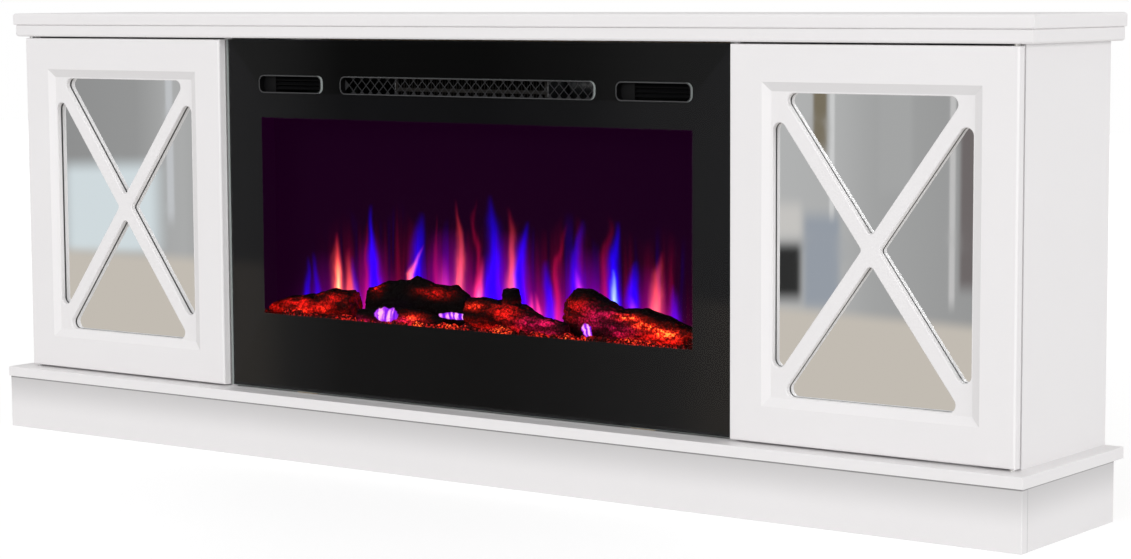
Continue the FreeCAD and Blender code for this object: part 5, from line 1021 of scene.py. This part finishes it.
class STAND_OT_dress_mirrors(bpy.types.Operator):
    """Silver the door mirrors"""
    bl_idname = "stand.dress_mirrors"
    bl_label = "Dress the mirrors"

    def execute(self, context):
        dress(MIRRORS, silvered(context.scene.stand_finishes.mirror))
        return {"FINISHED"}


class STAND_OT_dress_front(bpy.types.Operator):
    """Finish the glass, its print and the vents of the insert"""
    bl_idname = "stand.dress_front"
    bl_label = "Dress the insert's front"

    def execute(self, context):
        look = context.scene.stand_finishes
        dress(("front_glass",), clear_glass(look.glass, WINDOW))
        dress(("glass_print",), black_print())
        dress(("vent_collars",), collar_paint(look.collar))
        dress(("outlet_mesh",), powder_coat("mesh_paint", (0.030, 0.030, 0.032), gloss=0.40, shine=0.1))
        dress(BLACK_PLASTIC, moulded_plastic("black_plastic", (0.005, 0.005, 0.0055), pebble=1000.0, shine=0.1))
        return {"FINISHED"}


class STAND_OT_dress_insert(bpy.types.Operator):
    """Finish the case, the blower, the heater, the motors and the boards"""
    bl_idname = "stand.dress_insert"
    bl_label = "Dress the insert"

    def execute(self, context):
        black = (0.012, 0.012, 0.013)
        painted_firelight = context.scene.stand_fire.flame_strength
        dress(BLACK_STEEL, powder_coat("black_steel", black, gloss=0.42))
        dress(("front_flange",), powder_coat("flange_paint", shade(black, 0.3), gloss=0.55, shine=0.0))
        # The fire box's sides glow with painted firelight
        dress(("case_sides",), powder_coat("fire_wall", shade(black, 0.15), gloss=0.45, shine=0.0, painted_firelight=painted_firelight))
        dress(GALVANISED, galvanised())
        dress(ALUMINIUM, aluminium("bright_aluminium", (0.60, 0.61, 0.62), (0.76, 0.77, 0.78), gloss=0.26))
        # The heating element is painted near black: painted shade inside the outlet
        shade_darkened = aluminium("sooted_aluminium", (0.020, 0.019, 0.018), (0.05, 0.047, 0.045), gloss=0.5)
        dress(("heating_element",), shade_darkened)
        dress(CIRCUITS, circuit_board())
        return {"FINISHED"}


class STAND_OT_paint_flames(bpy.types.Operator):
    """Throw the flame picture on its screen"""
    bl_idname = "stand.paint_flames"
    bl_label = "Paint the flames"

    def execute(self, context):
        dress(("flame_screen",), flame_picture(context.scene.stand_fire.flame_strength))
        return {"FINISHED"}


class STAND_OT_build_logs(bpy.types.Operator):
    """Carve bark into each log"""
    bl_idname = "stand.build_logs"
    bl_label = "Build the logs"

    def execute(self, context):
        fire = context.scene.stand_fire
        bark = glowing_bark(fire.glow_strength)
        for node in LOGS:
            mesh = remeshed(node, fire.bark_step)
            if not mesh.vertices:
                raise RuntimeError(f"{node} has no skin")
            carve_bark(mesh, node, fire.bark_depth)
            add_piece(f"{node}_bark", mesh, bark, "log_resin", node)
        return {"FINISHED"}


class STAND_OT_build_embers(bpy.types.Operator):
    """Lay the ember bed and its coals"""
    bl_idname = "stand.build_embers"
    bl_label = "Build the ember bed"

    def execute(self, context):
        fire = context.scene.stand_fire
        add_piece("ember_bed_coals", bed_mesh(fire), glowing_coal(fire.glow_strength), "ember_resin", "ember_bed")
        return {"FINISHED"}


class STAND_OT_build_fixings(bpy.types.Operator):
    """Add nails to the back panels and screws to the case"""
    bl_idname = "stand.build_fixings"
    bl_label = "Build the back fixings"

    def execute(self, context):
        nail_inset, nail_pitch, nail_radius, nail_proud = 0.005, 0.085, 0.0022, 0.0007
        screw_inset, screw_pitch, screw_radius, screw_proud = 0.007, 0.2, 0.0036, 0.0022
        steel = plated_steel()
        low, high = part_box("back_panels")
        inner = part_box("right_divider")[0].x
        nails = []
        for near, far in ((low.x, -inner), (inner, high.x)):
            nails += places_round(Vector((near, 0, low.z)), Vector((far, 0, high.z)), nail_inset, nail_pitch, high.y)
        heads = heads_mesh("back_panel_nails", nails, nail_radius, nail_proud, cross=False)
        add_piece("back_panel_nails", heads, steel, "pin_steel")
        low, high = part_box("case_back")
        screws = places_round(low, high, screw_inset, screw_pitch, high.y)
        heads = heads_mesh("case_back_screws", screws, screw_radius, screw_proud, cross=True)
        add_piece("case_back_screws", heads, steel, "pin_steel")
        return {"FINISHED"}


class STAND_OT_set_stage(bpy.types.Operator):
    """Set the camera, the floor and the light"""
    bl_idname = "stand.set_stage"
    bl_label = "Set the stage"

    def execute(self, context):
        scene = context.scene
        look = scene.stand_stage
        set_camera(scene, look)
        set_floor(look)
        set_air(scene, look)
        for name, place, target in LAMPS:
            add_lamp(f"{name}_lamp", place, target, getattr(look, name))
        scene.view_settings.view_transform = "Standard"
        return {"FINISHED"}


class STAND_PT_sidebar(bpy.types.Panel):
    """The stand's sizes and steps"""
    bl_idname = "STAND_PT_sidebar"
    bl_label = "Fireplace TV stand"
    bl_space_type = "VIEW_3D"
    bl_region_type = "UI"
    bl_category = "Stand"

    def draw(self, context):
        for group in (context.scene.stand_finishes, context.scene.stand_fire, context.scene.stand_stage):
            for name in group.bl_rna.properties.keys():
                if name not in ("rna_type", "name"):
                    self.layout.prop(group, name)
        for step in STEPS:
            self.layout.operator(step.bl_idname)


GROUPS = {"stand_finishes": StandFinishes, "stand_fire": StandFire, "stand_stage": StandStage}
STEPS = (STAND_OT_dress_boards, STAND_OT_dress_fittings, STAND_OT_dress_mirrors, STAND_OT_dress_front,
         STAND_OT_dress_insert, STAND_OT_paint_flames, STAND_OT_build_logs, STAND_OT_build_embers,
         STAND_OT_build_fixings, STAND_OT_set_stage)


def register():
    for name, group in GROUPS.items():
        bpy.utils.register_class(group)
        setattr(bpy.types.Scene, name, PointerProperty(type=group))
    for step in (*STEPS, STAND_PT_sidebar):
        bpy.utils.register_class(step)


def unregister():
    for step in (STAND_PT_sidebar, *reversed(STEPS)):
        bpy.utils.unregister_class(step)
    for name, group in GROUPS.items():
        delattr(bpy.types.Scene, name)
        bpy.utils.unregister_class(group)


def main():
    register()
    for step in STEPS:
        family, name = step.bl_idname.split(".")
        getattr(getattr(bpy.ops, family), name)()


if __name__ == "__main__":
    main()
